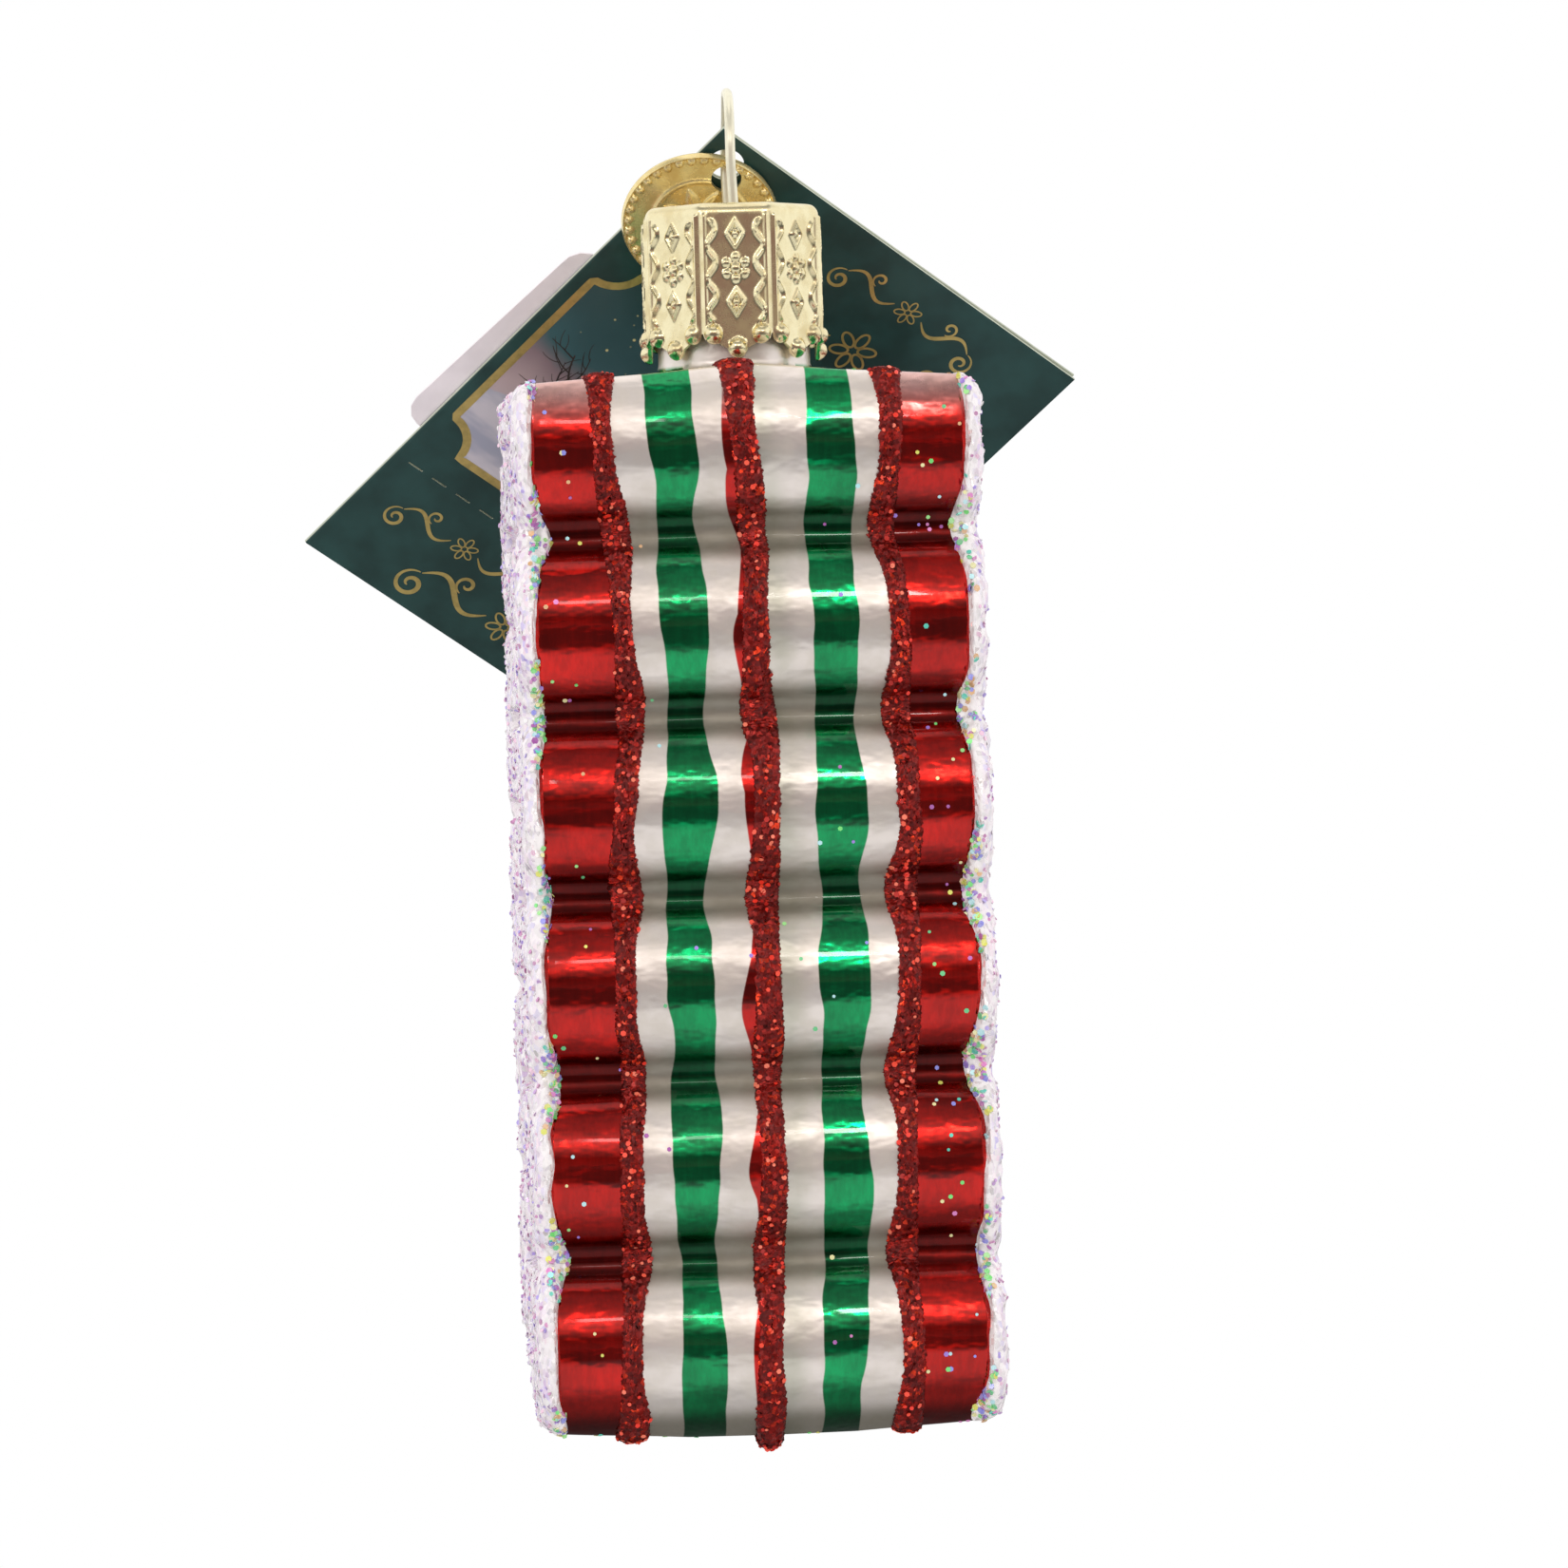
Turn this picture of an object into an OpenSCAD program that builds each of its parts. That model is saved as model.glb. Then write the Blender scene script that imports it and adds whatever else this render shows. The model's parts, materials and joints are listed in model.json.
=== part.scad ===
// Ribbon candy ornament: a blown glass ornament shaped as a folded candy ribbon,
// with a stamped cap, a wire hanger, a round charm and a folded card tag.
// Millimetres. The origin is the inside top of the wire loop, where a hook bears.
// +Z is up and the striped front faces -Y.

/* [Glass body] */
// Width of the glass across the ribbon, without the sugar crust
body_width = 35.6; // [28:0.1:46]
// Depth of the glass at its centre ridge
body_depth = 27; // [22.5:0.1:34]
// Number of folds seen on the front
fold_count = 6; // [4:1:8]
// Height of one fold
fold_pitch = 14.5; // [12:0.1:17.5]
// How much of the first fold the upper end cuts off
first_fold_cut = 1.7; // [0:0.1:2.5]
// How much the bend of a fold is larger than half its height
bend_swell = 1.15; // [0.8:0.05:1.6]
// Radius of the valley between two folds
valley_radius = 1.9; // [1.5:0.1:2.6]
// Angle by which each half of a face falls away from the centre ridge
ridge_angle = 4; // [1:0.5:6]
// How much the top and the bottom rise at the centre
crown_rise = 1.2; // [0.4:0.1:2]
// Radius of the four corners in front view
corner_radius = 1.6; // [0.6:0.1:3]
// Slope of the cut lower end of the ribbon
tail_slope = 22; // [12:1:30]
// Thickness of the glass
glass_wall = 0.9; // [0.6:0.1:1.4]
// Width of the gap between two layers of the ribbon, seen at the side
layer_gap = 1.5; // [1:0.1:2.2]
// Depth of that gap
layer_gap_depth = 0.9; // [0.5:0.1:1.4]

/* [Glitter] */
// Thickness of the sugar crust on the sides
crust_thickness = 1; // [0.3:0.1:1.5]
// How far the crust stays back from the fold edges
crust_margin = 0.3; // [0.1:0.1:0.8]
// Width of a raised red glitter band
band_width = 2.6; // [1.8:0.1:3.4]
// Thickness of a raised red glitter band
band_thickness = 0.5; // [0.3:0.1:0.8]
// Distance of the outer bands from the centre
band_offset = 11.8; // [9:0.1:13.5]

/* [Neck] */
// Outside diameter of the glass neck
neck_diameter = 12.4; // [12:0.1:12.8]
// Thickness of the glass at the neck
neck_wall = 0.5; // [0.4:0.05:0.6]
// Radius of the fillet where the neck grows out of the body
neck_fillet = 1; // [0.5:0.1:1.6]
// Height of bare neck between the cap's points and the body
neck_show = 1; // [0.8:0.1:3]
// Gap between the rim of the neck and the inside of the cap
neck_rim_gap = 0.45; // [0.3:0.05:0.6]

/* [Cap] */
// Gap between the neck and the inside of the cap's panels
cap_fit_gap = 0.45; // [0.3:0.05:0.8]
// Height of the cap's panels, without their points
cap_height = 11; // [9:0.1:14]
// Height of the point under each panel
cap_point = 1.3; // [0.8:0.1:2]
// Thickness of the sheet metal
cap_wall = 0.4; // [0.3:0.05:0.6]
// Radius of the rounded shoulder
cap_shoulder = 2.5; // [1.8:0.1:3]
// Radius of the beads on a panel's point
cap_bead = 0.75; // [0.5:0.05:0.9]
// Sideways distance of the two upper beads from the panel's middle
cap_bead_spread = 1.95; // [1.6:0.05:2.1]
// How deep the beads' centres lie under the panel's face
bead_sink = 0.2; // [0:0.05:0.4]
// Height of the raised ornament on the panels
emboss_height = 0.2; // [0.1:0.05:0.3]
// Width of a raised line
emboss_line = 0.32; // [0.2:0.02:0.45]
// Bend radius of the wavy lines
wave_radius = 1; // [0.8:0.05:1.3]
// Height of one bend of the wavy lines
wave_step = 1.6; // [1.2:0.05:1.8]
// Number of bends in a wavy line
wave_count = 5; // [3:1:6]
// Distance of a wavy line from the panel's middle
wave_offset = 1.95; // [1.7:0.05:2.1]
// Distance from the cap's top to the first bend
wave_drop = 1.9; // [1.6:0.1:2.6]
// Turn of the cap, with all that hangs on it, against the body
hanger_turn = -2; // [-20:1:20]

/* [Hanger wire] */
// Diameter of the wire
wire_diameter = 0.8; // [0.6:0.05:0.95]
// Gap between the wire's legs and the inside of the neck
leg_gap = 0.3; // [0.2:0.05:0.6]
// Height from the cap up to the inside top of the loop
loop_height = 9; // [8:0.1:12]
// Length of each leg below the cap's top
leg_length = 15; // [12:0.5:18]
// Gap all round between the wire and the cap's holes
wire_gap = 0.2; // [0.1:0.05:0.4]

/* [Charm] */
// Diameter of the charm
charm_diameter = 13; // [11:0.1:15]
// Thickness of the charm's sheet
charm_sheet = 0.4; // [0.3:0.05:0.6]
// Width of the raised rim
charm_rim = 1.1; // [0.8:0.1:1.6]
// Radius of the raised inner ring
charm_ring = 3.9; // [3:0.1:4.2]
// Radius of the beads on the rim
charm_bead = 0.32; // [0.2:0.02:0.4]
// Number of petals in the middle
charm_petals = 8; // [5:1:10]
// Length of a petal
petal_length = 2.9; // [2:0.1:3.2]
// Number of beads on the rim
charm_beads = 36; // [24:1:44]
// Metal left between the hole and the charm's edge
charm_land = 0.65; // [0.5:0.05:1.2]
// Play of the slanted wire in the charm's hole
charm_play = 0.7; // [0.5:0.05:1.2]
// Sideways swing at which the charm hangs
charm_swing = 28; // [0:1:35]

/* [Tag] */
// Length of the card's upper edge
tag_width = 39.5; // [30:0.5:50]
// Length of the card's folded edge
tag_height = 54; // [40:0.5:66]
// Thickness of one leaf of the folded card
leaf_thickness = 0.2; // [0.15:0.01:0.3]
// Gap between the two leaves
leaf_gap = 0.1; // [0.05:0.01:0.2]
// Card left between the hole and both edges
tag_land = 1; // [0.7:0.1:2]
// Play of the slanted wire in the card's hole
tag_play = 1.05; // [0.8:0.05:1.6]
// Distance of the row of perforations from the upper edge
perforation_drop = 42; // [30:0.5:46]
// Length of one perforation
perforation_length = 1.5; // [1:0.1:2]
// Distance from one perforation to the next
perforation_pitch = 2.6; // [2.4:0.1:4]
// Width of one perforation
perforation_width = 0.25; // [0.15:0.05:0.4]
// Lean of the card and the charm against plumb
lean = 38; // [36:0.5:48]
// Turn of the card in its own plane
tag_roll = 41; // [30:1:52]
// Gap between the cap, the charm and the card where they lean on each other
lean_gap = 0.3; // [0.25:0.05:0.5]

/* [Price label] */
// Length of the blank label
label_length = 32; // [20:0.5:36]
// Height of the blank label
label_height = 22.5; // [14:0.5:26]
// Corner radius of the label
label_radius = 2; // [1:0.1:4]
// Thickness of the label
label_thickness = 0.15; // [0.1:0.05:0.3]
// How far the label's middle stands out over the folded edge
label_overhang = 1.7; // [0.5:0.1:4]
// Distance of the label's middle from the upper edge
label_drop = 27.5; // [18:0.5:30]
// Turn of the label on the card
label_turn = -2; // [-6:1:10]

/* [Hidden] */
$fn = 64;
far = 60;
cap_top = -loop_height;
body_top = cap_top - cap_height - cap_point - neck_show;
fold_top = body_top - crown_rise / 2;
fold_start = fold_top + first_fold_cut;
body_height = fold_count * fold_pitch - first_fold_cut;
fold_bottom = fold_top - body_height;
bend_radius = fold_pitch / 2 + bend_swell;
bend_centre = body_depth / 2 - bend_radius;
valley_reach = sqrt(pow(bend_radius + valley_radius, 2) - pow(fold_pitch / 2, 2));
half_width = body_width / 2;
neck_radius = neck_diameter / 2;
bore_radius = neck_radius - neck_wall;
neck_top = cap_top - cap_wall - neck_rim_gap;
cap_across = neck_diameter + 2 * (cap_fit_gap + cap_wall);
panel_width = cap_across * tan(22.5);
cap_corner = cap_across / 2 / cos(22.5);
wire_radius = wire_diameter / 2;
strand = bore_radius - leg_gap - wire_radius;
arch_centre = wire_radius - strand;
// Drop of the shoulder where it meets the middle of a flat
shoulder_reach = cap_corner + cap_wall;
shoulder_centre = shoulder_reach - cap_shoulder;
shoulder_drop = cap_shoulder - sqrt(pow(cap_shoulder, 2) - pow(cap_across / 2 - shoulder_centre, 2));
charm_radius = charm_diameter / 2;
charm_hole = slant_hole(charm_sheet) + charm_play;
charm_reach = charm_radius - charm_hole / 2 - charm_land;
charm_rise = ((cap_across / 2 - strand) * cos(lean) + lean_gap + charm_sheet / 2) / sin(lean);
charm_z = cap_top - shoulder_drop + charm_rise;
card_thickness = 2 * leaf_thickness + leaf_gap;
tag_hole = slant_hole(card_thickness) + tag_play;
tag_hole_edge = tag_hole / 2 + tag_land;
tag_z = charm_z + (charm_sheet / 2 + lean_gap + card_thickness / 2) / sin(lean);
perforations = floor((tag_width - perforation_length) / perforation_pitch);

function front_fold(i) = fold_start - fold_pitch * (i + 0.5);
function fold_line(i) = fold_start - fold_pitch * i;
// Least hole that lets the upright wire through a leaning sheet of this thickness
function slant_hole(sheet) = (wire_diameter + sheet * cos(lean)) / sin(lean);

// A drawing of the side view, y to the right and z up, pulled out along the ribbon's width
module across_ribbon() {
    rotate([90, 0, 90])
        linear_extrude(height = 2 * far, center = true)
            children();
}

// Row of bends on one face in side view, full to the far side: bends at the given heights,
// and below the last one a straight end that leaves its bend at the tail angle
module bend_row(heights, inset, tail) {
    steps = [for (i = [0:len(heights) - 2]) i];
    zigzag = [for (i = steps) each [
        [-bend_centre, heights[i]],
        [-bend_centre - valley_reach, (heights[i] + heights[i + 1]) / 2]
    ]];
    last = [-bend_centre, heights[len(heights) - 1]];
    leave = last - (bend_radius - inset) * [sin(tail), cos(tail)];
    difference() {
        union() {
            polygon(concat(
                [[far, far], [-bend_centre, far]],
                zigzag,
                [last, leave, leave + 3 * far * [cos(tail), -sin(tail)]]
            ));
            for (z = heights)
                translate([-bend_centre, z])
                    circle(r = bend_radius - inset);
        }
        for (i = steps)
            translate([-bend_centre - valley_reach, (heights[i] + heights[i + 1]) / 2])
                circle(r = valley_radius + inset);
    }
}

// Front face: one bend for each fold
module front_row(inset) {
    bend_row([for (i = [0:fold_count - 1]) front_fold(i)], inset, 0);
}

// Back face: bends half a fold higher, and the slanted lower end of the ribbon
module back_row(inset) {
    mirror([1, 0])
        bend_row([for (i = [0:fold_count - 1]) fold_line(i)], inset, tail_slope);
}

// One face with its two halves falling away from the centre ridge
module ridged(angle) {
    intersection() {
        rotate([0, 0, angle])
            across_ribbon()
                children();
        rotate([0, 0, -angle])
            across_ribbon()
                children();
    }
}

// Front view of the body: crowned top and bottom, rounded corners
module front_outline(inset, side_inset) {
    side = half_width - side_inset;
    top = fold_top - inset;
    bottom = fold_bottom + inset;
    half_rise = crown_rise / 2;
    difference() {
        polygon([
            [-side, top - half_rise], [0, top + half_rise], [side, top - half_rise],
            [side, bottom + half_rise], [0, bottom - half_rise], [-side, bottom + half_rise]
        ]);
        for (sx = [-1, 1], end = [[top - half_rise, 1], [bottom + half_rise, -1]])
            translate([sx * side, end[0]])
                mirror([sx < 0 ? 1 : 0, 0])
                    mirror([0, end[1] < 0 ? 1 : 0])
                        difference() {
                            translate([-corner_radius, -corner_radius])
                                square(2 * corner_radius);
                            translate([-corner_radius, -corner_radius])
                                circle(r = corner_radius);
                            translate([-2 * corner_radius, 0])
                                square([corner_radius, 2 * corner_radius]);
                        }
    }
}

// The body's outside, or a skin at an inset from it
module envelope(inset, side_inset) {
    intersection() {
        ridged(ridge_angle)
            front_row(inset);
        ridged(ridge_angle)
            back_row(inset);
        rotate([90, 0, 0])
            linear_extrude(height = far, center = true)
                front_outline(inset, side_inset);
    }
}

// Side view of the gaps between the layers, from the front valleys and the back valleys
module layer_gaps() {
    for (i = [1:fold_count - 1])
        translate([bend_centre, fold_line(i)])
            rotate(180)
                gap_slot();
    for (i = [0:fold_count - 1])
        translate([-bend_centre, front_fold(i)])
            gap_slot();
}

// One gap with a round inner end, running out at the face
module gap_slot() {
    circle(d = layer_gap);
    translate([0, -layer_gap / 2])
        square([far, layer_gap]);
}

// The gaps cut into one side of the body, down to a depth below the glass
module side_gaps(side) {
    translate([side * (half_width - layer_gap_depth + far), 0, 0])
        across_ribbon()
            layer_gaps();
}

// Ring-shaped fillet round the foot of the neck
module neck_foot() {
    translate([0, 0, body_top - crown_rise / 2])
        rotate_extrude()
            difference() {
                translate([bore_radius, -neck_fillet])
                    square([neck_wall + neck_fillet, 2 * neck_fillet + crown_rise / 2]);
                translate([neck_radius + neck_fillet, neck_fillet + crown_rise / 2])
                    circle(r = neck_fillet);
            }
}

// Hollow folded-ribbon shell with its open neck
module glass_body() {
    color([0.93, 0.91, 0.9])
        difference() {
            union() {
                envelope(0, 0);
                translate([0, 0, body_top - crown_rise])
                    cylinder(r = neck_radius, h = neck_top - body_top + crown_rise);
                neck_foot();
            }
            envelope(glass_wall, glass_wall + layer_gap_depth);
            translate([0, 0, body_top - crown_rise - 2 * glass_wall])
                cylinder(r = bore_radius, h = far);
            for (side = [-1, 1])
                side_gaps(side);
        }
}

// Crust of white glitter on the ribbon's edge at one side
module sugar_crust(side) {
    color([0.92, 0.86, 0.93])
        difference() {
            intersection() {
                envelope(crust_margin, -crust_thickness);
                translate([side * (half_width + far / 2), 0, fold_bottom + body_height / 2])
                    cube([far, far, 2 * body_height], center = true);
            }
            side_gaps(side);
        }
}

module sugar_crust_left() {
    sugar_crust(-1);
}

module sugar_crust_right() {
    sugar_crust(1);
}

// Raised band of red glitter round the body
module glitter_band(x) {
    color([0.55, 0.05, 0.05])
        difference() {
            intersection() {
                envelope(-band_thickness, 0);
                translate([x, 0, fold_bottom + body_height / 2])
                    cube([band_width, far, 2 * body_height], center = true);
            }
            envelope(0, -1);
            translate([0, 0, body_top - crown_rise])
                cylinder(r = neck_radius + neck_fillet, h = far);
        }
}

module glitter_band_left() {
    glitter_band(-band_offset);
}

module glitter_band_centre() {
    glitter_band(0);
}

module glitter_band_right() {
    glitter_band(band_offset);
}

// Octagonal block with a rounded shoulder, its top at z = 0
module cap_block(inset, height) {
    intersection() {
        translate([0, 0, -height])
            rotate([0, 0, 22.5])
                cylinder(r = cap_corner - inset / cos(22.5), h = height - inset, $fn = 8);
        rotate_extrude()
            union() {
                translate([0, -height])
                    square([shoulder_reach - inset, height - cap_shoulder]);
                translate([0, -cap_shoulder])
                    square([shoulder_centre, cap_shoulder - inset]);
                translate([shoulder_centre, -cap_shoulder])
                    intersection() {
                        circle(r = cap_shoulder - inset);
                        square(cap_shoulder);
                    }
            }
    }
}

// Three beads on the point of one panel
module panel_beads() {
    for (bead = [[-cap_bead_spread, 0.5 * cap_bead], [cap_bead_spread, 0.5 * cap_bead], [0, -cap_bead]])
        translate([bead[0], bead_sink - cap_across / 2, bead[1] - cap_height])
            sphere(r = cap_bead);
}

// Wavy raised line: arcs that bend left and right in turn
module wavy_line() {
    reach = sqrt(pow(wave_radius, 2) - pow(wave_step / 2, 2));
    for (i = [0:wave_count - 1])
        translate([0, -i * wave_step])
            mirror([i % 2, 0])
                intersection() {
                    translate([-reach, 0])
                        difference() {
                            circle(r = wave_radius + emboss_line / 2);
                            circle(r = wave_radius - emboss_line / 2);
                        }
                    translate([0, -wave_step / 2 - emboss_line / 2])
                        square([wave_radius, wave_step + emboss_line]);
                }
}

// Flower of six round petals
module flower() {
    circle(r = 1.5 * emboss_line);
    for (i = [0:5])
        rotate(60 * i)
            translate([0, 2.6 * emboss_line])
                circle(r = emboss_line);
}

// Upright lozenge
module lozenge() {
    polygon([[0, 3.4 * emboss_line], [2.2 * emboss_line, 0], [0, -3.4 * emboss_line], [-2.2 * emboss_line, 0]]);
}

// Raised ornament of one panel: two wavy lines, and a flower between two lozenges
module panel_ornament() {
    middle = wave_drop + wave_step * (wave_count - 1) / 2;
    spread = wave_step * (wave_count - 1) / 2;
    translate([0, bead_sink - cap_across / 2, 0])
        rotate([90, 0, 0])
            linear_extrude(height = bead_sink + emboss_height) {
                for (side = [0, 1])
                    mirror([side, 0])
                        translate([wave_offset, -wave_drop])
                            wavy_line();
                translate([0, -middle])
                    flower();
                for (sz = [-1, 1])
                    translate([0, -middle + sz * spread])
                        lozenge();
            }
}

// Notch between the points of two panels
module panel_notch() {
    half_notch = panel_width / 2 - cap_bead;
    translate([0, 0, -cap_height - cap_point])
        rotate([90, 0, 0])
            linear_extrude(height = far)
                polygon([[-half_notch, -1], [half_notch, -1], [half_notch, 0], [0, cap_point], [-half_notch, 0]]);
}

// Stamped cap: eight panels with pointed feet, and two holes for the wire
module cap_crown() {
    color([0.85, 0.76, 0.5])
        rotate([0, 0, hanger_turn])
            translate([0, 0, cap_top])
                difference() {
                    union() {
                        difference() {
                            cap_block(0, cap_height + cap_point);
                            for (i = [0:7])
                                rotate([0, 0, 45 * i + 22.5])
                                    panel_notch();
                        }
                        for (i = [0:7])
                            rotate([0, 0, 45 * i]) {
                                panel_beads();
                                panel_ornament();
                            }
                    }
                    cap_block(cap_wall, cap_height + cap_point + 2 * cap_bead);
                    for (sy = [-1, 1])
                        translate([0, sy * strand, -cap_shoulder])
                            cylinder(r = wire_radius + wire_gap, h = far);
                }
}

// Bent wire: an arch over the cap and two legs down into the neck
module hanger_wire() {
    color([0.88, 0.82, 0.66])
        rotate([0, 0, hanger_turn]) {
            translate([0, 0, arch_centre])
                rotate([90, 0, 90])
                    rotate_extrude(angle = 180)
                        translate([strand, 0])
                            circle(r = wire_radius);
            for (sy = [-1, 1])
                translate([0, sy * strand, cap_top - leg_length]) {
                    cylinder(r = wire_radius, h = leg_length - cap_top + arch_centre);
                    sphere(r = wire_radius);
                }
        }
}

// Place of a leaning piece: its hole on the far strand, local y up the slope, local z to the front
module on_far_strand(z) {
    rotate([0, 0, hanger_turn])
        translate([0, strand, z])
            rotate([90 + lean, 0, 0])
                children();
}

// Pointed petal between two arcs, from the middle outwards
module petal() {
    bow = petal_length;
    intersection() {
        translate([-bow * cos(30), petal_length / 2])
            circle(r = bow);
        translate([bow * cos(30), petal_length / 2])
            circle(r = bow);
    }
}

// Round charm with a raised, beaded rim, a raised inner ring and a star of petals
module charm_medallion() {
    bead_circle = charm_radius - charm_rim / 2;
    color([0.8, 0.65, 0.32])
        on_far_strand(charm_z)
            difference() {
                rotate([0, 0, -charm_swing])
                    translate([0, -charm_reach, 0]) {
                        rotate_extrude()
                            union() {
                                translate([0, -charm_sheet / 2])
                                    square([charm_radius, charm_sheet]);
                                translate([charm_radius - charm_sheet / 2, charm_sheet / 2])
                                    circle(d = charm_sheet);
                                translate([charm_ring, charm_sheet / 2])
                                    circle(d = charm_sheet);
                            }
                        linear_extrude(height = charm_sheet)
                            for (i = [0:charm_petals - 1])
                                rotate(360 * i / charm_petals)
                                    petal();
                        for (i = [0:charm_beads - 1])
                            rotate([0, 0, 360 * (i + 0.5) / charm_beads])
                                translate([0, bead_circle, charm_sheet / 2])
                                    sphere(r = charm_bead);
                    }
                cylinder(d = charm_hole, h = far, center = true);
            }
}

// Folded card: two leaves joined by a round fold, hung by the corner next to the fold
module hang_tag() {
    color([0.08, 0.17, 0.14])
        on_far_strand(tag_z)
            rotate([0, 0, -tag_roll])
                translate([-tag_hole_edge, tag_hole_edge, 0])
                    difference() {
                        card_outline();
                        translate([card_thickness / 2, -tag_height, -leaf_gap / 2])
                            cube([tag_width, tag_height, leaf_gap]);
                        translate([tag_hole_edge, -tag_hole_edge, 0])
                            cylinder(d = tag_hole, h = far, center = true);
                        for (i = [0:perforations - 1])
                            translate([perforation_length + i * perforation_pitch, -perforation_drop, 0])
                                cube([perforation_length, perforation_width, far]);
                    }
}

// The card as one block with its round fold at the left
module card_outline() {
    translate([card_thickness / 2, -tag_height, -card_thickness / 2])
        cube([tag_width - card_thickness / 2, tag_height, card_thickness]);
    translate([card_thickness / 2, 0, 0])
        rotate([90, 0, 0])
            cylinder(d = card_thickness, h = tag_height);
}

// Blank label stuck to the back of the card, standing out over the fold
module price_label() {
    color([0.9, 0.85, 0.87])
        on_far_strand(tag_z)
            rotate([0, 0, -tag_roll])
                translate([-tag_hole_edge - label_overhang, tag_hole_edge - label_drop, 0])
                    rotate([0, 0, label_turn])
                        translate([0, -label_height / 2, -card_thickness / 2 - label_thickness])
                            linear_extrude(height = label_thickness)
                                rounded_rectangle(label_length, label_height, label_radius);
}

// Rectangle with round corners, its left lower corner at the origin
module rounded_rectangle(length, height, radius) {
    translate([radius, 0])
        square([length - 2 * radius, height]);
    translate([0, radius])
        square([length, height - 2 * radius]);
    for (x = [radius, length - radius], y = [radius, height - radius])
        translate([x, y])
            circle(r = radius);
}

glass_body();
sugar_crust_left();
sugar_crust_right();
glitter_band_left();
glitter_band_centre();
glitter_band_right();
cap_crown();
hanger_wire();
charm_medallion();
hang_tag();
price_label();
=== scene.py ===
"""Visible meshes and finishes of a hanging ribbon candy ornament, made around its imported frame."""

import json
from functools import cache, reduce
from math import asin, atan2, ceil, cos, pi, radians, sin, sqrt, tan

import bpy
import numpy as np
from bpy.props import FloatProperty, FloatVectorProperty, IntProperty, PointerProperty
from bpy.types import Operator, Panel, PropertyGroup
from mathutils import Matrix, Vector


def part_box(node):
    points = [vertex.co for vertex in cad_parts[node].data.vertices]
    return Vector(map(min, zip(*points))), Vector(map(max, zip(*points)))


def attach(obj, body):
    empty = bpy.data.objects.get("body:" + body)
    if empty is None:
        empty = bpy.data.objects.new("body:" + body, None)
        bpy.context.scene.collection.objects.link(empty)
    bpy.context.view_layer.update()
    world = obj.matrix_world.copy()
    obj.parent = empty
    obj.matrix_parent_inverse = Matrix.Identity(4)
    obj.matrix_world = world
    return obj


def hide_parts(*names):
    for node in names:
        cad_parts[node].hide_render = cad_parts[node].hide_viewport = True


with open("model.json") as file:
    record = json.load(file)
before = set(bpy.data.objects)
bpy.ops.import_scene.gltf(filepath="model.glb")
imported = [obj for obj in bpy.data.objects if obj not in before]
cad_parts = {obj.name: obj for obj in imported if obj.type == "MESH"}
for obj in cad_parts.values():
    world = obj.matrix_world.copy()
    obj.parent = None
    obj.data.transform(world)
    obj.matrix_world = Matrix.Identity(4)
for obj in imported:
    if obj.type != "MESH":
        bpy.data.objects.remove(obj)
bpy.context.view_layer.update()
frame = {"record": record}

bl_info = {
    "name": "Ribbon Candy Ornament",
    "version": (1, 0, 0),
    "blender": (4, 5, 0),
    "location": "View3D > Sidebar > Ornament",
    "description": "Makes the striped glass, glitter, gold cap, charm and card of an ornament",
    "category": "Object",
}

MM = 0.001
GLASS_LOW, GLASS_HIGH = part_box("glass_body")
CAP_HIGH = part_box("cap_crown")[1]
WIRE_LOW, WIRE_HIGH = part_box("hanger_wire")
JOINTS = {joint["name"]: joint for joint in frame["record"]["behaviour"]["joints"]}
CHARM_AXIS = JOINTS["charm_swing"]["axis"]
HANGER_TURN = atan2(CHARM_AXIS[0], -CHARM_AXIS[1])


def length(name, millimetres, description):
    """A size property, given in millimetres."""
    size = millimetres * MM
    return FloatProperty(name=name, description=description, default=size, unit="LENGTH", precision=5)


def angle(name, degrees, description):
    """An angle property, given in degrees."""
    return FloatProperty(name=name, description=description, default=radians(degrees), subtype="ANGLE")


def colour(name, tint, description):
    """A colour property."""
    return FloatVectorProperty(
        name=name, description=description, default=tint, subtype="COLOR", min=0, max=1
    )


def power(name, watts, description):
    """A property for the power of a lamp."""
    return FloatProperty(name=name, description=description, default=watts, unit="POWER")


def ratio(name, default, description):
    """A property without a unit."""
    return FloatProperty(name=name, description=description, default=default)


def number(name, default, description):
    """A property that counts like things."""
    return IntProperty(name=name, description=description, default=default, min=1)


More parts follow.
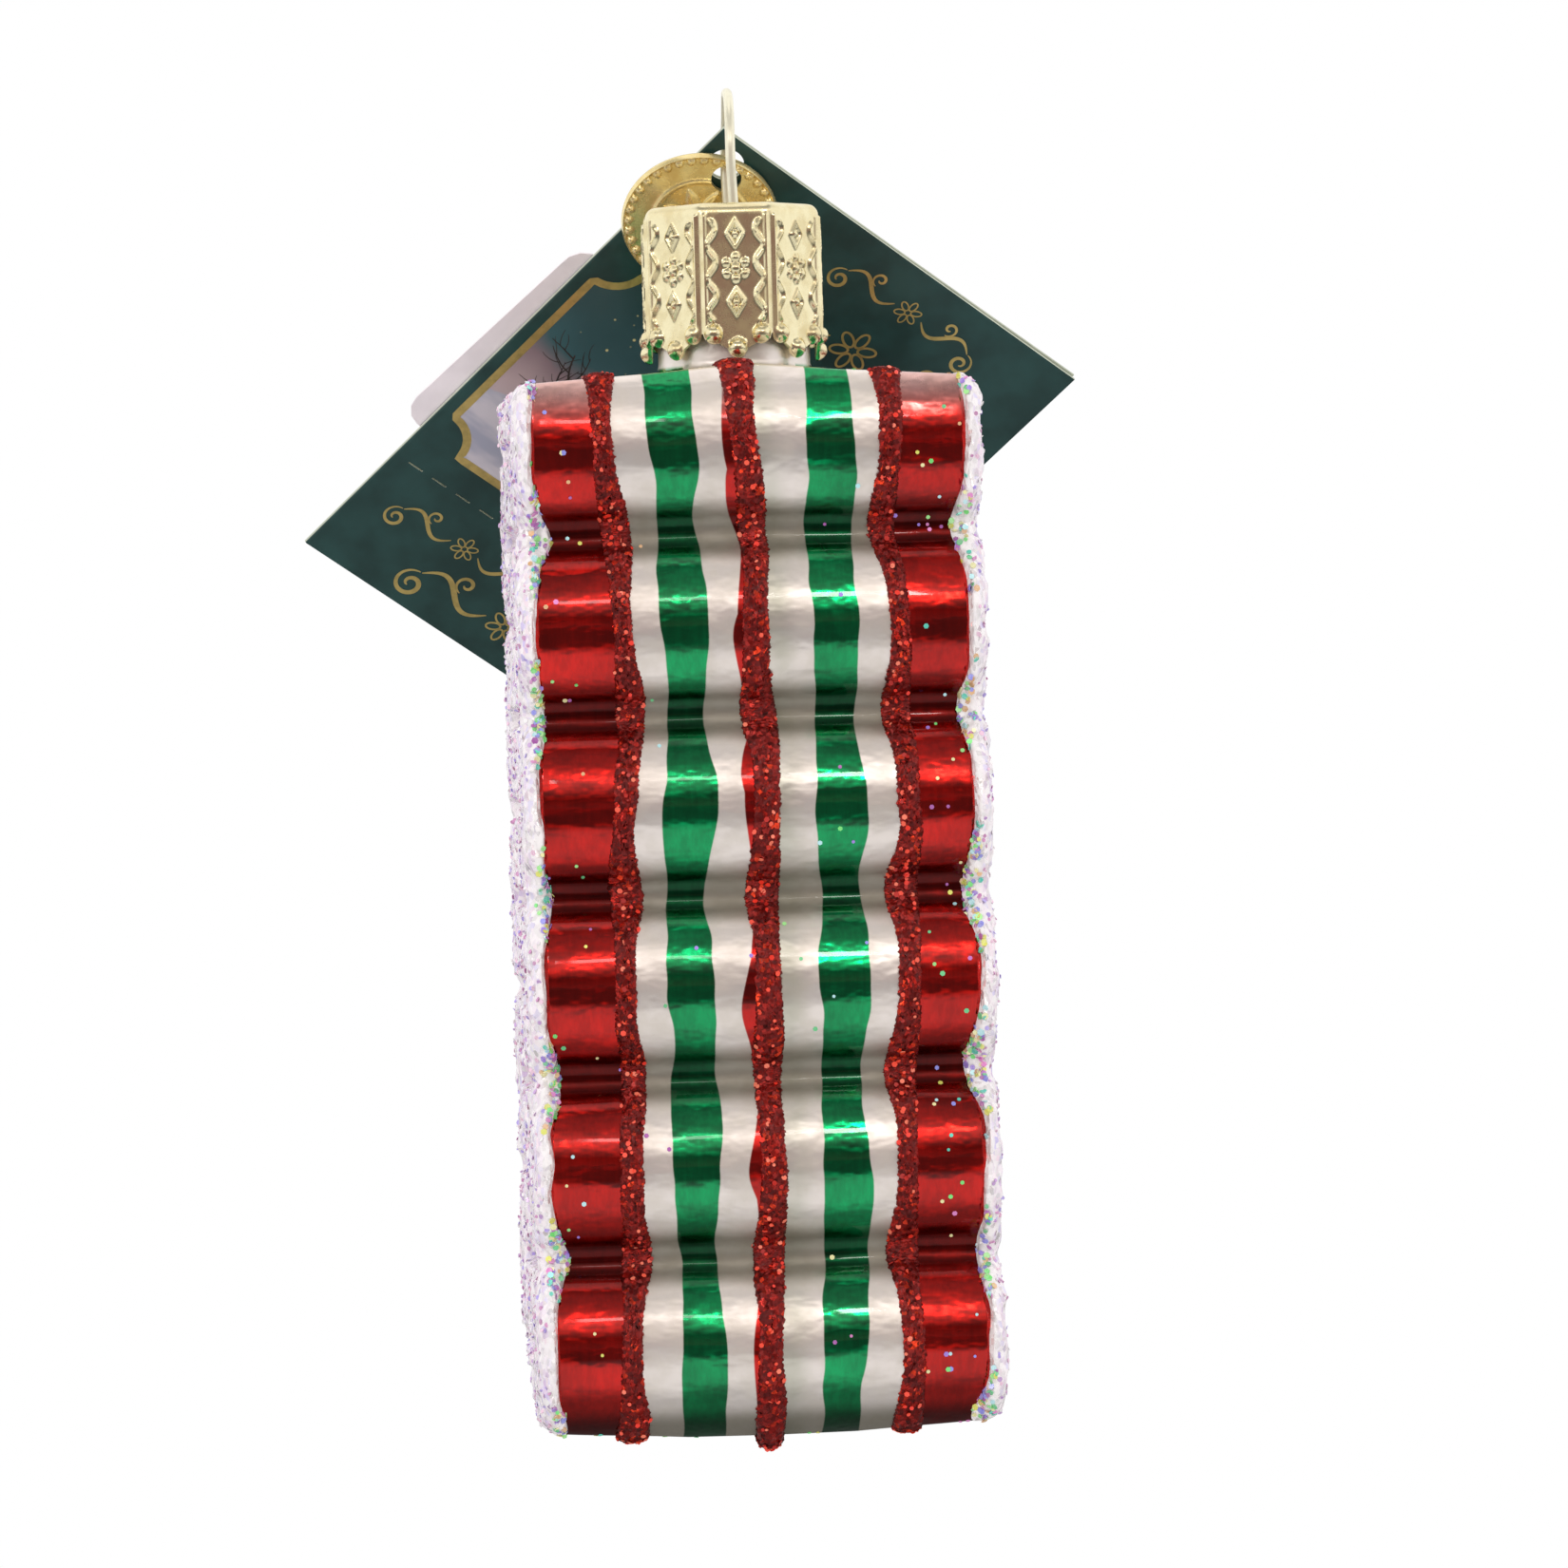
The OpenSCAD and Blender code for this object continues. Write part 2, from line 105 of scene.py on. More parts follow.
class GlassSettings(PropertyGroup):
    """Sizes and colours of the folded glass body."""

    fold_count: IntProperty(name="Folds", description="Bends on the front", default=6, min=2, max=10)
    fold_pitch: length("Fold pitch", 14.5, "Height of one fold")
    bend_radius: length("Bend radius", 8.4, "Radius of the round bends")
    bend_centre: length("Bend centre", 5.1, "Distance of the bends' centres from the middle plane")
    valley_radius: length("Valley radius", 1.9, "Radius of the valleys between two bends")
    upper_end: length("Upper end", -22.9, "Mean height of the upper end")
    first_cut: length("First fold cut", 1.7, "How much of the first fold the upper end cuts off")
    crown_rise: length("Crown rise", 1.2, "How far the middle stands over the sides at both ends")
    ridge_angle: angle("Ridge angle", 4, "Slope of each half away from the centre ridge")
    ridge_soft: length("Ridge softness", 0.5, "Rounding of the centre ridge")
    tail_slope: angle("Tail slope", 22, "Slope of the underside")
    end_round: length("End rounding", 0.8, "Rounding of the edges at top and bottom")
    side_round: length("Side rounding", 0.8, "Rounding of the side edges")
    ripple: length("Ripple", 0.13, "Unevenness of the blown wall")
    layer_gap: length("Layer gap", 1.5, "Gap between two layers at the sides")
    layer_depth: length("Layer gap depth", 0.9, "Depth of the gaps between the layers")
    side_rim: length("Side rim", 0.35, "Width of the flat rim round each side")
    neck_radius: length("Neck radius", 6.2, "Radius of the neck")
    neck_wall: length("Neck wall", 0.5, "Wall of the neck")
    neck_fillet: length("Neck fillet", 1.0, "Fillet at the neck's foot")
    green_place: length("Green stripe place", 6.3, "Distance of the green stripes from the middle")
    green_half: length("Green stripe half width", 1.8, "Half the width of a green stripe")
    red_start: length("Red stripe start", 11.95, "Distance at which the red stripes begin")
    red: colour("Red lacquer", (0.62, 0.009, 0.005), "Transparent red lacquer over silver")
    green: colour("Green lacquer", (0.0, 0.33, 0.1), "Transparent green lacquer over silver")
    pearl: colour("Pearl white", (0.97, 0.885, 0.83), "Satin pearl white")


class GlitterSettings(PropertyGroup):
    """Sizes and colours of the glitter."""

    band_half: length("Band half width", 1.12, "Half the width of a red glitter band")
    band_height: length("Band height", 0.5, "Height of a red glitter band")
    grain: length("Grain", 0.16, "Height of the grains on the bands")
    crust_height: length("Crust height", 1.0, "Height of the white crust on the sides")
    crust_edge: length("Crust edge height", 0.42, "Height of the white crust on the front and back")
    crust_border: length("Crust border", 17.3, "Distance from the middle at which the white crust begins")
    gap_share: ratio("Gap depth", 0.72, "Share of the crust that the layer gaps take away")
    crust_step: length("Crust step", 0.22, "Size of the crust's mesh")
    flake_radius: length("Flake radius", 0.27, "Radius of a large flake")
    band_flakes: number("Band flakes", 420, "Large flakes on each red band")
    side_flakes: number("Side flakes", 1900, "Large flakes on each side")
    edge_flakes: number("Edge flakes", 760, "Large flakes on the front and back of each crust")
    stray_flakes: number("Stray flakes", 90, "Single flakes all over the glass")
    stray_edge_flakes: number("Stray edge flakes", 170, "Single flakes near the crusts")
    red_dark: colour("Dark red", (0.165, 0.005, 0.004), "Red glitter turned away from the light")
    red_light: colour("Light red", (0.5, 0.017, 0.01), "Red glitter turned to the light")
    white: colour("Sugar white", (0.97, 0.915, 0.905), "Base of the white glitter")


class MetalSettings(PropertyGroup):
    """Sizes and colours of the cap, the wire and the charm."""

    cap_across: length("Cap width", 14.1, "Width of the cap across its flats")
    cap_height: length("Cap height", 11.0, "Height of the cap down to its side beads")
    cap_point: length("Cap point", 1.3, "How far the panels' points reach below that")
    cap_wall: length("Cap wall", 0.4, "Sheet of the cap")
    cap_shoulder: length("Cap shoulder", 0.9, "Rounding of the cap's upper edge")
    cap_bead: length("Cap bead", 0.75, "Radius of the beads on the points")
    cap_bead_spread: length("Cap bead spread", 1.95, "Distance of the side beads from the panel's middle")
    emboss: length("Relief", 0.24, "Height of the raised ornament")
    wire_radius: length("Wire radius", 0.4, "Radius of the wire")
    strand: length("Strand place", 5.0, "Distance of each strand from the axis")
    wire_gap: length("Wire gap", 0.2, "Gap between the wire and the cap's holes")
    charm_radius: length("Charm radius", 6.5, "Radius of the charm")
    charm_sheet: length("Charm sheet", 0.4, "Thickness of the charm")
    charm_reach: length("Charm reach", 4.594, "Distance from the charm's hole to its middle")
    charm_hole: length("Charm hole", 1.2556, "Radius of the charm's hole")
    charm_bead: length("Charm bead", 0.38, "Radius of the beads on the charm's rim")
    charm_beads: number("Charm beads", 36, "Beads on the charm's rim")
    charm_swing: angle("Charm swing", 28, "Sideways swing at which the charm hangs")
    cap_gold: colour("Cap gold", (0.95, 0.855, 0.55), "Pale gold of the cap")
    wire_gold: colour("Wire champagne", (0.95, 0.9, 0.7), "Champagne of the wire")
    charm_gold: colour("Charm gold", (0.98, 0.82, 0.42), "Gold of the charm")


class PaperSettings(PropertyGroup):
    """Sizes and colours of the card and the label."""

    card_width: length("Card width", 39.5, "Upper edge of the folded card")
    card_height: length("Card height", 54.0, "Folded edge of the card")
    leaf: length("Leaf", 0.2, "Thickness of one leaf")
    leaf_gap: length("Leaf gap", 0.1, "Gap between the leaves at the fold")
    leaf_open: length("Leaf opening", 0.35, "How far the back leaf stands off at its free edge")
    hole: length("Hole", 1.4947, "Radius of the card's hole")
    hole_edge: length("Hole place", 2.4947, "Distance of the hole from both edges")
    perforation_drop: length("Perforation drop", 42.0, "Distance of the perforations from the upper edge")
    card_roll: angle("Card roll", 41, "Turn of the card in its own plane")
    label_length: length("Label length", 32.0, "Length of the label")
    label_height: length("Label height", 22.5, "Height of the label")
    label_radius: length("Label corner", 2.0, "Corner radius of the label")
    label_thickness: length("Label thickness", 0.15, "Thickness of the label")
    label_overhang: length("Label overhang", 1.7, "How far the label stands out over the fold")
    label_drop: length("Label drop", 27.5, "Distance of the label's middle from the upper edge")
    label_turn: angle("Label turn", -2, "Turn of the label on the card")
    card_green: colour("Card green", (0.0185, 0.068, 0.062), "Dark green print")
    foil: colour("Foil gold", (0.66, 0.5, 0.17), "Gold print")
    label_pink: colour("Label pink", (0.93, 0.85, 0.88), "Pale pink paper")


class StageSettings(PropertyGroup):
    """Camera, floor and lamps."""

    distance: length("Camera distance", 600, "Distance of the camera from the ornament")
    frame_width: length("Frame width", 127.9, "Width of the view at the ornament")
    azimuth: angle("Camera azimuth", -5, "Turn of the camera round the ornament")
    roll: angle("Camera roll", -1.6, "Roll of the camera")
    aim_height: length("Aim height", -56.05, "Height that the middle of the view shows")
    aim_right: length("Aim right", 3.1, "How far the middle of the view lies to the right of the axis")
    floor_height: length("Floor height", -170, "Height of the floor")
    floor_radius: length("Floor radius", 3000, "Radius of the floor")
    lamp_distance: length("Lamp distance", 800, "Distance of the lamps from the ornament")
    line_power: power("Line lamp", 0.26, "Power of the lamp that draws thin lines on the right half")
    soft_power: power("Soft line lamp", 0.08, "Power of the lamp that draws softer lines on the left half")
    fill_power: power("Fill lamp", 0.25, "Power of the lamp from the left")
    room: ratio("Room light", 1.06, "Strength of the even light")


GROUPS = {
    "ornament_glass": GlassSettings,
    "ornament_glitter": GlitterSettings,
    "ornament_metal": MetalSettings,
    "ornament_paper": PaperSettings,
    "ornament_stage": StageSettings,
}


# Shader trees


class Tree:
    """A node tree with short calls for the nodes that the finishes use."""

    def __init__(self, tree):
        self.tree = tree

    @classmethod
    def material(cls, name, **constants):
        """A new material's tree and its shader, with constants set on the shader's own sockets."""
        material = bpy.data.materials.new(name)
        material.use_nodes = True
        t = cls(material.node_tree)
        t.owner = material
        t.shader = material.node_tree.nodes["Principled BSDF"]
        for socket, value in constants.items():
            t.shader.inputs[socket.replace("_", " ")].default_value = value
        return t

    @classmethod
    def group(cls, name, inputs, outputs):
        """A new node group's tree, with its named sockets."""
        tree = bpy.data.node_groups.new(name, "ShaderNodeTree")
        for socket, kind, default in inputs:
            made = tree.interface.new_socket(name=socket, in_out="INPUT", socket_type="NodeSocket" + kind)
            if default is not None:
                made.default_value = default
        for socket, kind in outputs:
            tree.interface.new_socket(name=socket, in_out="OUTPUT", socket_type="NodeSocket" + kind)
        t = cls(tree)
        t.inputs = tree.nodes.new("NodeGroupInput").outputs
        t.outputs = tree.nodes.new("NodeGroupOutput").inputs
        return t

    def feed(self, socket, value):
        """Links a socket, or sets a plain value."""
        if isinstance(value, bpy.types.NodeSocket):
            self.tree.links.new(value, socket)
        elif value is not None:
            socket.default_value = value

    def node(self, kind, *values, **settings):
        """A node with its settings, and its first inputs fed in order."""
        made = self.tree.nodes.new("ShaderNode" + kind)
        for name, value in settings.items():
            setattr(made, name, value)
        for socket, value in zip(made.inputs, values):
            self.feed(socket, value)
        return made

    def use(self, group, **values):
        """A node group placed in this tree with its own values."""
        made = self.tree.nodes.new("ShaderNodeGroup")
        made.node_tree = group.tree
        for name, value in values.items():
            self.feed(made.inputs[name.replace("_", " ")], value)
        return made.outputs

    def math(self, operation, *values):
        return self.node("Math", *values, operation=operation).outputs[0]

    def plus(self, *values):
        return reduce(lambda a, b: self.math("ADD", a, b), values)

    def times(self, *values):
        return reduce(lambda a, b: self.math("MULTIPLY", a, b), values)

    def most(self, *values):
        return reduce(lambda a, b: self.math("MAXIMUM", a, b), values)

    def minus(self, a, b):
        return self.math("SUBTRACT", a, b)

    def hypot(self, a, b):
        return self.math("SQRT", self.plus(self.math("POWER", a, 2.0), self.math("POWER", b, 2.0)))

    def vector(self, operation, *values):
        return self.node("VectorMath", *values, operation=operation).outputs[0]

    def join(self, x, y, z):
        return self.node("CombineXYZ", x, y, z).outputs[0]

    def smooth(self, value, low, high, start=0.0, end=1.0):
        """A smooth step of value from low to high."""
        made = self.node("MapRange", value, low, high, start, end, interpolation_type="SMOOTHSTEP")
        return made.outputs[0]

    def mix(self, factor, a, b, blend="MIX"):
        """A mix of two colours."""
        made = self.node("Mix", data_type="RGBA", blend_type=blend)
        for place, value in ((0, factor), (6, a), (7, b)):
            self.feed(made.inputs[place], value if place == 0 else rgba(value))
        return made.outputs[2]

    def blend(self, factor, a, b):
        """A mix of two values."""
        made = self.node("Mix", data_type="FLOAT")
        for place, value in ((0, factor), (2, a), (3, b)):
            self.feed(made.inputs[place], value)
        return made.outputs[0]

    def fed(self, kind, **values):
        """The outputs of a node whose inputs are fed by name."""
        made = self.node(kind)
        for name, value in values.items():
            self.feed(made.inputs[name], value)
        return made.outputs

    def noise(self, place, scale, detail=2.0, rough=0.5):
        return self.fed("TexNoise", Vector=place, Scale=scale, Detail=detail, Roughness=rough)[0]

    def cells(self, place, scale):
        return self.fed("TexVoronoi", Vector=place, Scale=scale)

    def bump(self, height, distance, strength=1.0):
        return self.fed("Bump", Height=height, Distance=distance, Strength=strength)[0]

    def ramp(self, factor, stops, constant=False):
        """Colours by place along a ramp."""
        made = self.node("ValToRGB", factor)
        band = made.color_ramp
        band.interpolation = "CONSTANT" if constant else "LINEAR"
        while len(band.elements) < len(stops):
            band.elements.new(0.5)
        for element, (place, tint) in zip(band.elements, stops):
            element.position = place
            element.color = rgba(tint)
        return made.outputs[0]

    def object_place(self):
        """Object coordinates in millimetres, as a vector and its three axes."""
        place = self.node("VectorMath", self.node("TexCoord").outputs["Object"], operation="SCALE")
        place.inputs["Scale"].default_value = 1 / MM
        axes = self.node("SeparateXYZ", place.outputs[0]).outputs
        return place.outputs[0], axes[0], axes[1], axes[2]

    def finish(self, **links):
        """Feeds the shader's sockets and gives the material."""
        for name, value in links.items():
            self.feed(self.shader.inputs[name.replace("_", " ")], value)
        return self.owner

    def give(self, **links):
        """Feeds a group's outputs and gives the group."""
        for name, value in links.items():
            self.feed(self.outputs[name], value)
        return self


def rgba(tint):
    """A colour with its alpha, or the socket that gives one."""
    if isinstance(tint, bpy.types.NodeSocket) or len(tint) == 4:
        return tint
    return (*tint, 1.0)


def dimmed(tint, *shares):
    """A colour taken down to one share of it, or to a share of each of its three parts."""
    return [part * share for part, share in zip(tint, shares if len(shares) == 3 else 3 * shares)]


@cache
def sparkle_group():
    """Glitter: cells that each have their own tint and their own tilt."""
    t = Tree.group(
        "glitter_sparkle",
        [("Place", "Vector", None), ("Cells", "Float", 3.0), ("Tilt", "Float", 1.0)],
        [("Random", "Float"), ("Second", "Float"), ("Normal", "Vector")],
    )
    cells = t.cells(t.inputs["Place"], t.inputs["Cells"])
    spread = t.vector("SUBTRACT", cells["Color"], (0.5, 0.5, 0.5))
    tilt = t.node("VectorMath", spread, operation="SCALE")
    t.feed(tilt.inputs["Scale"], t.inputs["Tilt"])
    normal = t.vector("ADD", t.node("NewGeometry").outputs["Normal"], tilt.outputs[0])
    parts = t.node("SeparateColor", cells["Color"]).outputs
    return t.give(Random=parts[0], Second=parts[2], Normal=t.vector("NORMALIZE", normal))


SURFACE_OUTPUTS = [("Color", "Color"), ("Roughness", "Float"), ("Height", "Float")]


@cache
def metal_wear_group():
    """Handled bright metal: clouded polish, fine scratches and dull spots."""
    t = Tree.group(
        "metal_wear",
        [
            ("Place", "Vector", None),
            ("Bright", "Color", (0.8, 0.7, 0.4, 1)),
            ("Dull", "Color", (0.5, 0.4, 0.2, 1)),
        ],
        SURFACE_OUTPUTS,
    )
    clouds = t.noise(t.inputs["Place"], 0.55, 4.0, 0.6)
    stretched = t.vector("MULTIPLY", t.inputs["Place"], (6.0, 6.0, 0.8))
    return t.give(
        Color=t.mix(t.smooth(clouds, 0.38, 0.72), t.inputs["Bright"], t.inputs["Dull"]),
        Roughness=t.smooth(clouds, 0.3, 0.8, 0.13, 0.3),
        Height=t.noise(stretched, 1.6, 3.0, 0.7),
    )


@cache
def paper_group():
    """Paper: fibres and a faint mottling of the print."""
    t = Tree.group(
        "paper_fibres",
        [
            ("Place", "Vector", None),
            ("Light", "Color", (1, 1, 1, 1)),
            ("Dark", "Color", (0.8, 0.8, 0.8, 1)),
        ],
        SURFACE_OUTPUTS,
    )
    fibres = t.noise(t.vector("MULTIPLY", t.inputs["Place"], (1.0, 3.5, 1.0)), 2.2, 5.0, 0.65)
    mottle = t.noise(t.inputs["Place"], 0.22, 3.0, 0.55)
    return t.give(
        Color=t.mix(t.smooth(mottle, 0.3, 0.7), t.inputs["Light"], t.inputs["Dark"]),
        Roughness=t.smooth(fibres, 0.2, 0.8, 0.38, 0.52),
        Height=fibres,
    )


# Mesh tools


class Noise:
    """Smooth seeded noise of about -1 to 1 for arrays of points."""

    SIZE = 48

    def __init__(self, seed):
        shape = (self.SIZE,) * 3
        self.table = np.random.default_rng(seed).uniform(-1, 1, shape).astype(np.float32)

    def __call__(self, points, scale):
        place = np.asarray(points, dtype=np.float32) / scale
        cell = np.floor(place).astype(np.int32)
        part = place - cell
        part = part * part * (3 - 2 * part)
        total = np.zeros(place.shape[:-1], dtype=np.float32)
        for corner in np.ndindex(2, 2, 2):
            weight = np.ones_like(total)
            for axis in range(3):
                weight *= part[..., axis] if corner[axis] else 1 - part[..., axis]
            index = (cell + np.array(corner)) % self.SIZE
            total += weight * self.table[index[..., 0], index[..., 1], index[..., 2]]
        return total


def circle(count):
    """Directions at equal steps round Z, from X on."""
    turn = np.arange(count) * 2 * pi / count
    return np.stack([np.cos(turn), np.sin(turn)], -1)


def grid_faces(rows, columns, wrap_rows=False, wrap_columns=False, start=0):
    """Quads over a grid of points, joined round where asked."""
    i = np.arange(rows if wrap_rows else rows - 1)[:, None]
    j = np.arange(columns if wrap_columns else columns - 1)[None]
    i2, j2 = (i + 1) % rows, (j + 1) % columns
    corners = [i * columns + j, i * columns + j2, i2 * columns + j2, i2 * columns + j]
    return np.stack(corners, -1).reshape(-1, 4) + start


def end_faces(rows, columns, start=0):
    """The first and the last of a row of rings, as two faces."""
    ring = np.arange(columns)
    return np.stack([ring[::-1], ring + (rows - 1) * columns]) + start


def make_mesh(name, points, *face_sets):
    """A mesh of faces with any number of corners, turned to face outwards."""
    points = np.asarray(points, dtype=np.float64).reshape(-1, 3)
    face_sets = [np.asarray(faces, dtype=np.int32) for faces in face_sets if len(faces)]
    volume = 0.0
    for faces in face_sets:
        first = points[faces[:, 0]]
        for k in range(1, faces.shape[1] - 1):
            volume += np.einsum("ij,ij->", first, np.cross(points[faces[:, k]], points[faces[:, k + 1]]))
    if volume < 0:
        face_sets = [faces[:, ::-1] for faces in face_sets]
    sizes = np.concatenate([np.full(len(faces), faces.shape[1]) for faces in face_sets])
    corners = np.concatenate([faces.ravel() for faces in face_sets])
    mesh = bpy.data.meshes.new(name)
    mesh.vertices.add(len(points))
    mesh.vertices.foreach_set("co", points.ravel())
    mesh.loops.add(len(corners))
    mesh.loops.foreach_set("vertex_index", corners)
    mesh.polygons.add(len(sizes))
    mesh.polygons.foreach_set("loop_start", np.concatenate([[0], np.cumsum(sizes)[:-1]]))
    mesh.update(calc_edges=True)
    mesh.validate()
    return mesh


def ring_mesh(name, rings):
    """A closed mesh over rings of equally many points, from the first ring to the last."""
    rows, columns = np.shape(rings)[:2]
    faces = grid_faces(rows, columns, wrap_columns=True)
    return make_mesh(name, rings, faces, end_faces(rows, columns))


def link(name, data):
    """A new object in the scene."""
    made = bpy.data.objects.new(name, data)
    bpy.context.scene.collection.objects.link(made)
    return made


def add_piece(mesh, material, body, nodes=(), place=None, sharp=None):
    """A smooth-shaded object named as its mesh: it rides on a body and may stand for CAD nodes."""
    piece = link(mesh.name, mesh)
    if place is not None:
        piece.matrix_world = place
    mesh.materials.append(material)
    mesh.polygons.foreach_set("use_smooth", np.ones(len(mesh.polygons), dtype=bool))
    if sharp is not None:
        mesh.set_sharp_from_angle(angle=sharp)
    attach(piece, body)
    if nodes:
        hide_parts(*nodes)
    return piece


def cut_away(mesh, cutters):
    """The mesh with closed cutter meshes taken away from it."""
    name = mesh.name
    work = link("cut_work", mesh)
    helpers = [work]
    for cutter in cutters:
        tool = link("cut_tool", cutter)
        step = work.modifiers.new("cut", "BOOLEAN")
        step.operation = "DIFFERENCE"
        step.solver = "EXACT"
        step.object = tool
        helpers.append(tool)
    depsgraph = bpy.context.evaluated_depsgraph_get()
    result = bpy.data.meshes.new_from_object(work.evaluated_get(depsgraph))
    for helper in helpers:
        used = helper.data
        bpy.data.objects.remove(helper)
        bpy.data.meshes.remove(used)
    result.name = name
    return result


def drill(radius, low, high, centre=(0, 0), sides=40):
    """A closed round cutter along Z."""
    ring = np.asarray(centre) + radius * circle(sides)
    return ring_mesh("drill", [np.c_[ring, np.full(sides, z)] for z in (low, high)])


def box_cutter(low, high):
    """A closed box cutter between two corners."""
    points = [(x, y, z) for x in (low[0], high[0]) for y in (low[1], high[1]) for z in (low[2], high[2])]
    faces = [(0, 1, 3, 2), (4, 6, 7, 5), (0, 4, 5, 1), (2, 3, 7, 6), (0, 2, 6, 4), (1, 5, 7, 3)]
    return make_mesh("box_cutter", points, faces)


def surface_net(field, origin, step):
    """Points and quads of the surface where a field on a grid turns negative."""
    inside = field < 0
    size = np.array(field.shape) - 1
    count = np.zeros(size, dtype=np.int8)
    corners = np.array(list(np.ndindex(2, 2, 2)))
    for a, b, c in corners:
        count += inside[a : a + size[0], b : b + size[1], c : c + size[2]]
    active = (count > 0) & (count < 8)
    cells = np.argwhere(active)
    index = np.full(size, -1, dtype=np.int32)
    index[active] = np.arange(len(cells))
    total = np.zeros((len(cells), 3))
    hits = np.zeros((len(cells), 1))
    for first in corners:
        for axis in range(3):
            if first[axis]:
                continue
            second = first.copy()
            second[axis] = 1
            a = field[tuple((cells + first).T)]
            b = field[tuple((cells + second).T)]
            crossed = ((a < 0) != (b < 0))[:, None]
            share = (a / np.where(a == b, 1, a - b))[:, None]
            total += np.where(crossed, first + share * (second - first), 0)
            hits += crossed
    points = origin + step * (cells + total / hits)
    quads = []
    for axis in range(3):
        along = np.eye(3, dtype=int)[axis]
        side, up = np.eye(3, dtype=int)[(axis + 1) % 3], np.eye(3, dtype=int)[(axis + 2) % 3]
        low = inside[tuple(slice(0, n - k) for n, k in zip(field.shape, along))]
        high = inside[tuple(slice(k, n) for n, k in zip(field.shape, along))]
        edges = np.argwhere(low != high)
        edges = edges[((edges >= side + up).all(1)) & ((edges < size).all(1))]
        ring = [edges, edges - side, edges - side - up, edges - up]
        quad = np.stack([index[tuple(cell.T)] for cell in ring], -1)
        outward = low[tuple(edges.T)]
        quads.append(np.where(outward[:, None], quad, quad[:, ::-1]))
    return points, np.concatenate(quads)


def flakes(points, normals, radius, lift, tilt, rng):
    """Small six-sided plates lying at points, each turned and tilted its own way."""
    count, sides = len(points), 6
    normals = normals + rng.normal(0, tilt, (count, 3))
    normals /= np.linalg.norm(normals, axis=1, keepdims=True)
    first = np.cross(normals, rng.normal(size=(count, 3)))
    first /= np.linalg.norm(first, axis=1, keepdims=True)
    second = np.cross(normals, first)
    size = radius * rng.uniform(0.7, 1.25, (count, 1, 1))
    along, across = circle(sides).T[:, None, :, None]
    ring = size * (along * first[:, None] + across * second[:, None])
    centre = points[:, None] + lift * normals[:, None]
    half_plate = 0.12 * radius * normals[:, None]
    verts = np.concatenate([centre + ring - half_plate, centre + ring + half_plate], 1)
    start = 2 * sides * np.arange(count)[:, None]
    quads = start[:, :, None] + grid_faces(2, sides, wrap_columns=True)[None]
    ends = np.concatenate([start + face for face in end_faces(2, sides)])
    return verts.reshape(-1, 3), quads.reshape(-1, 4), ends


# The folded ribbon


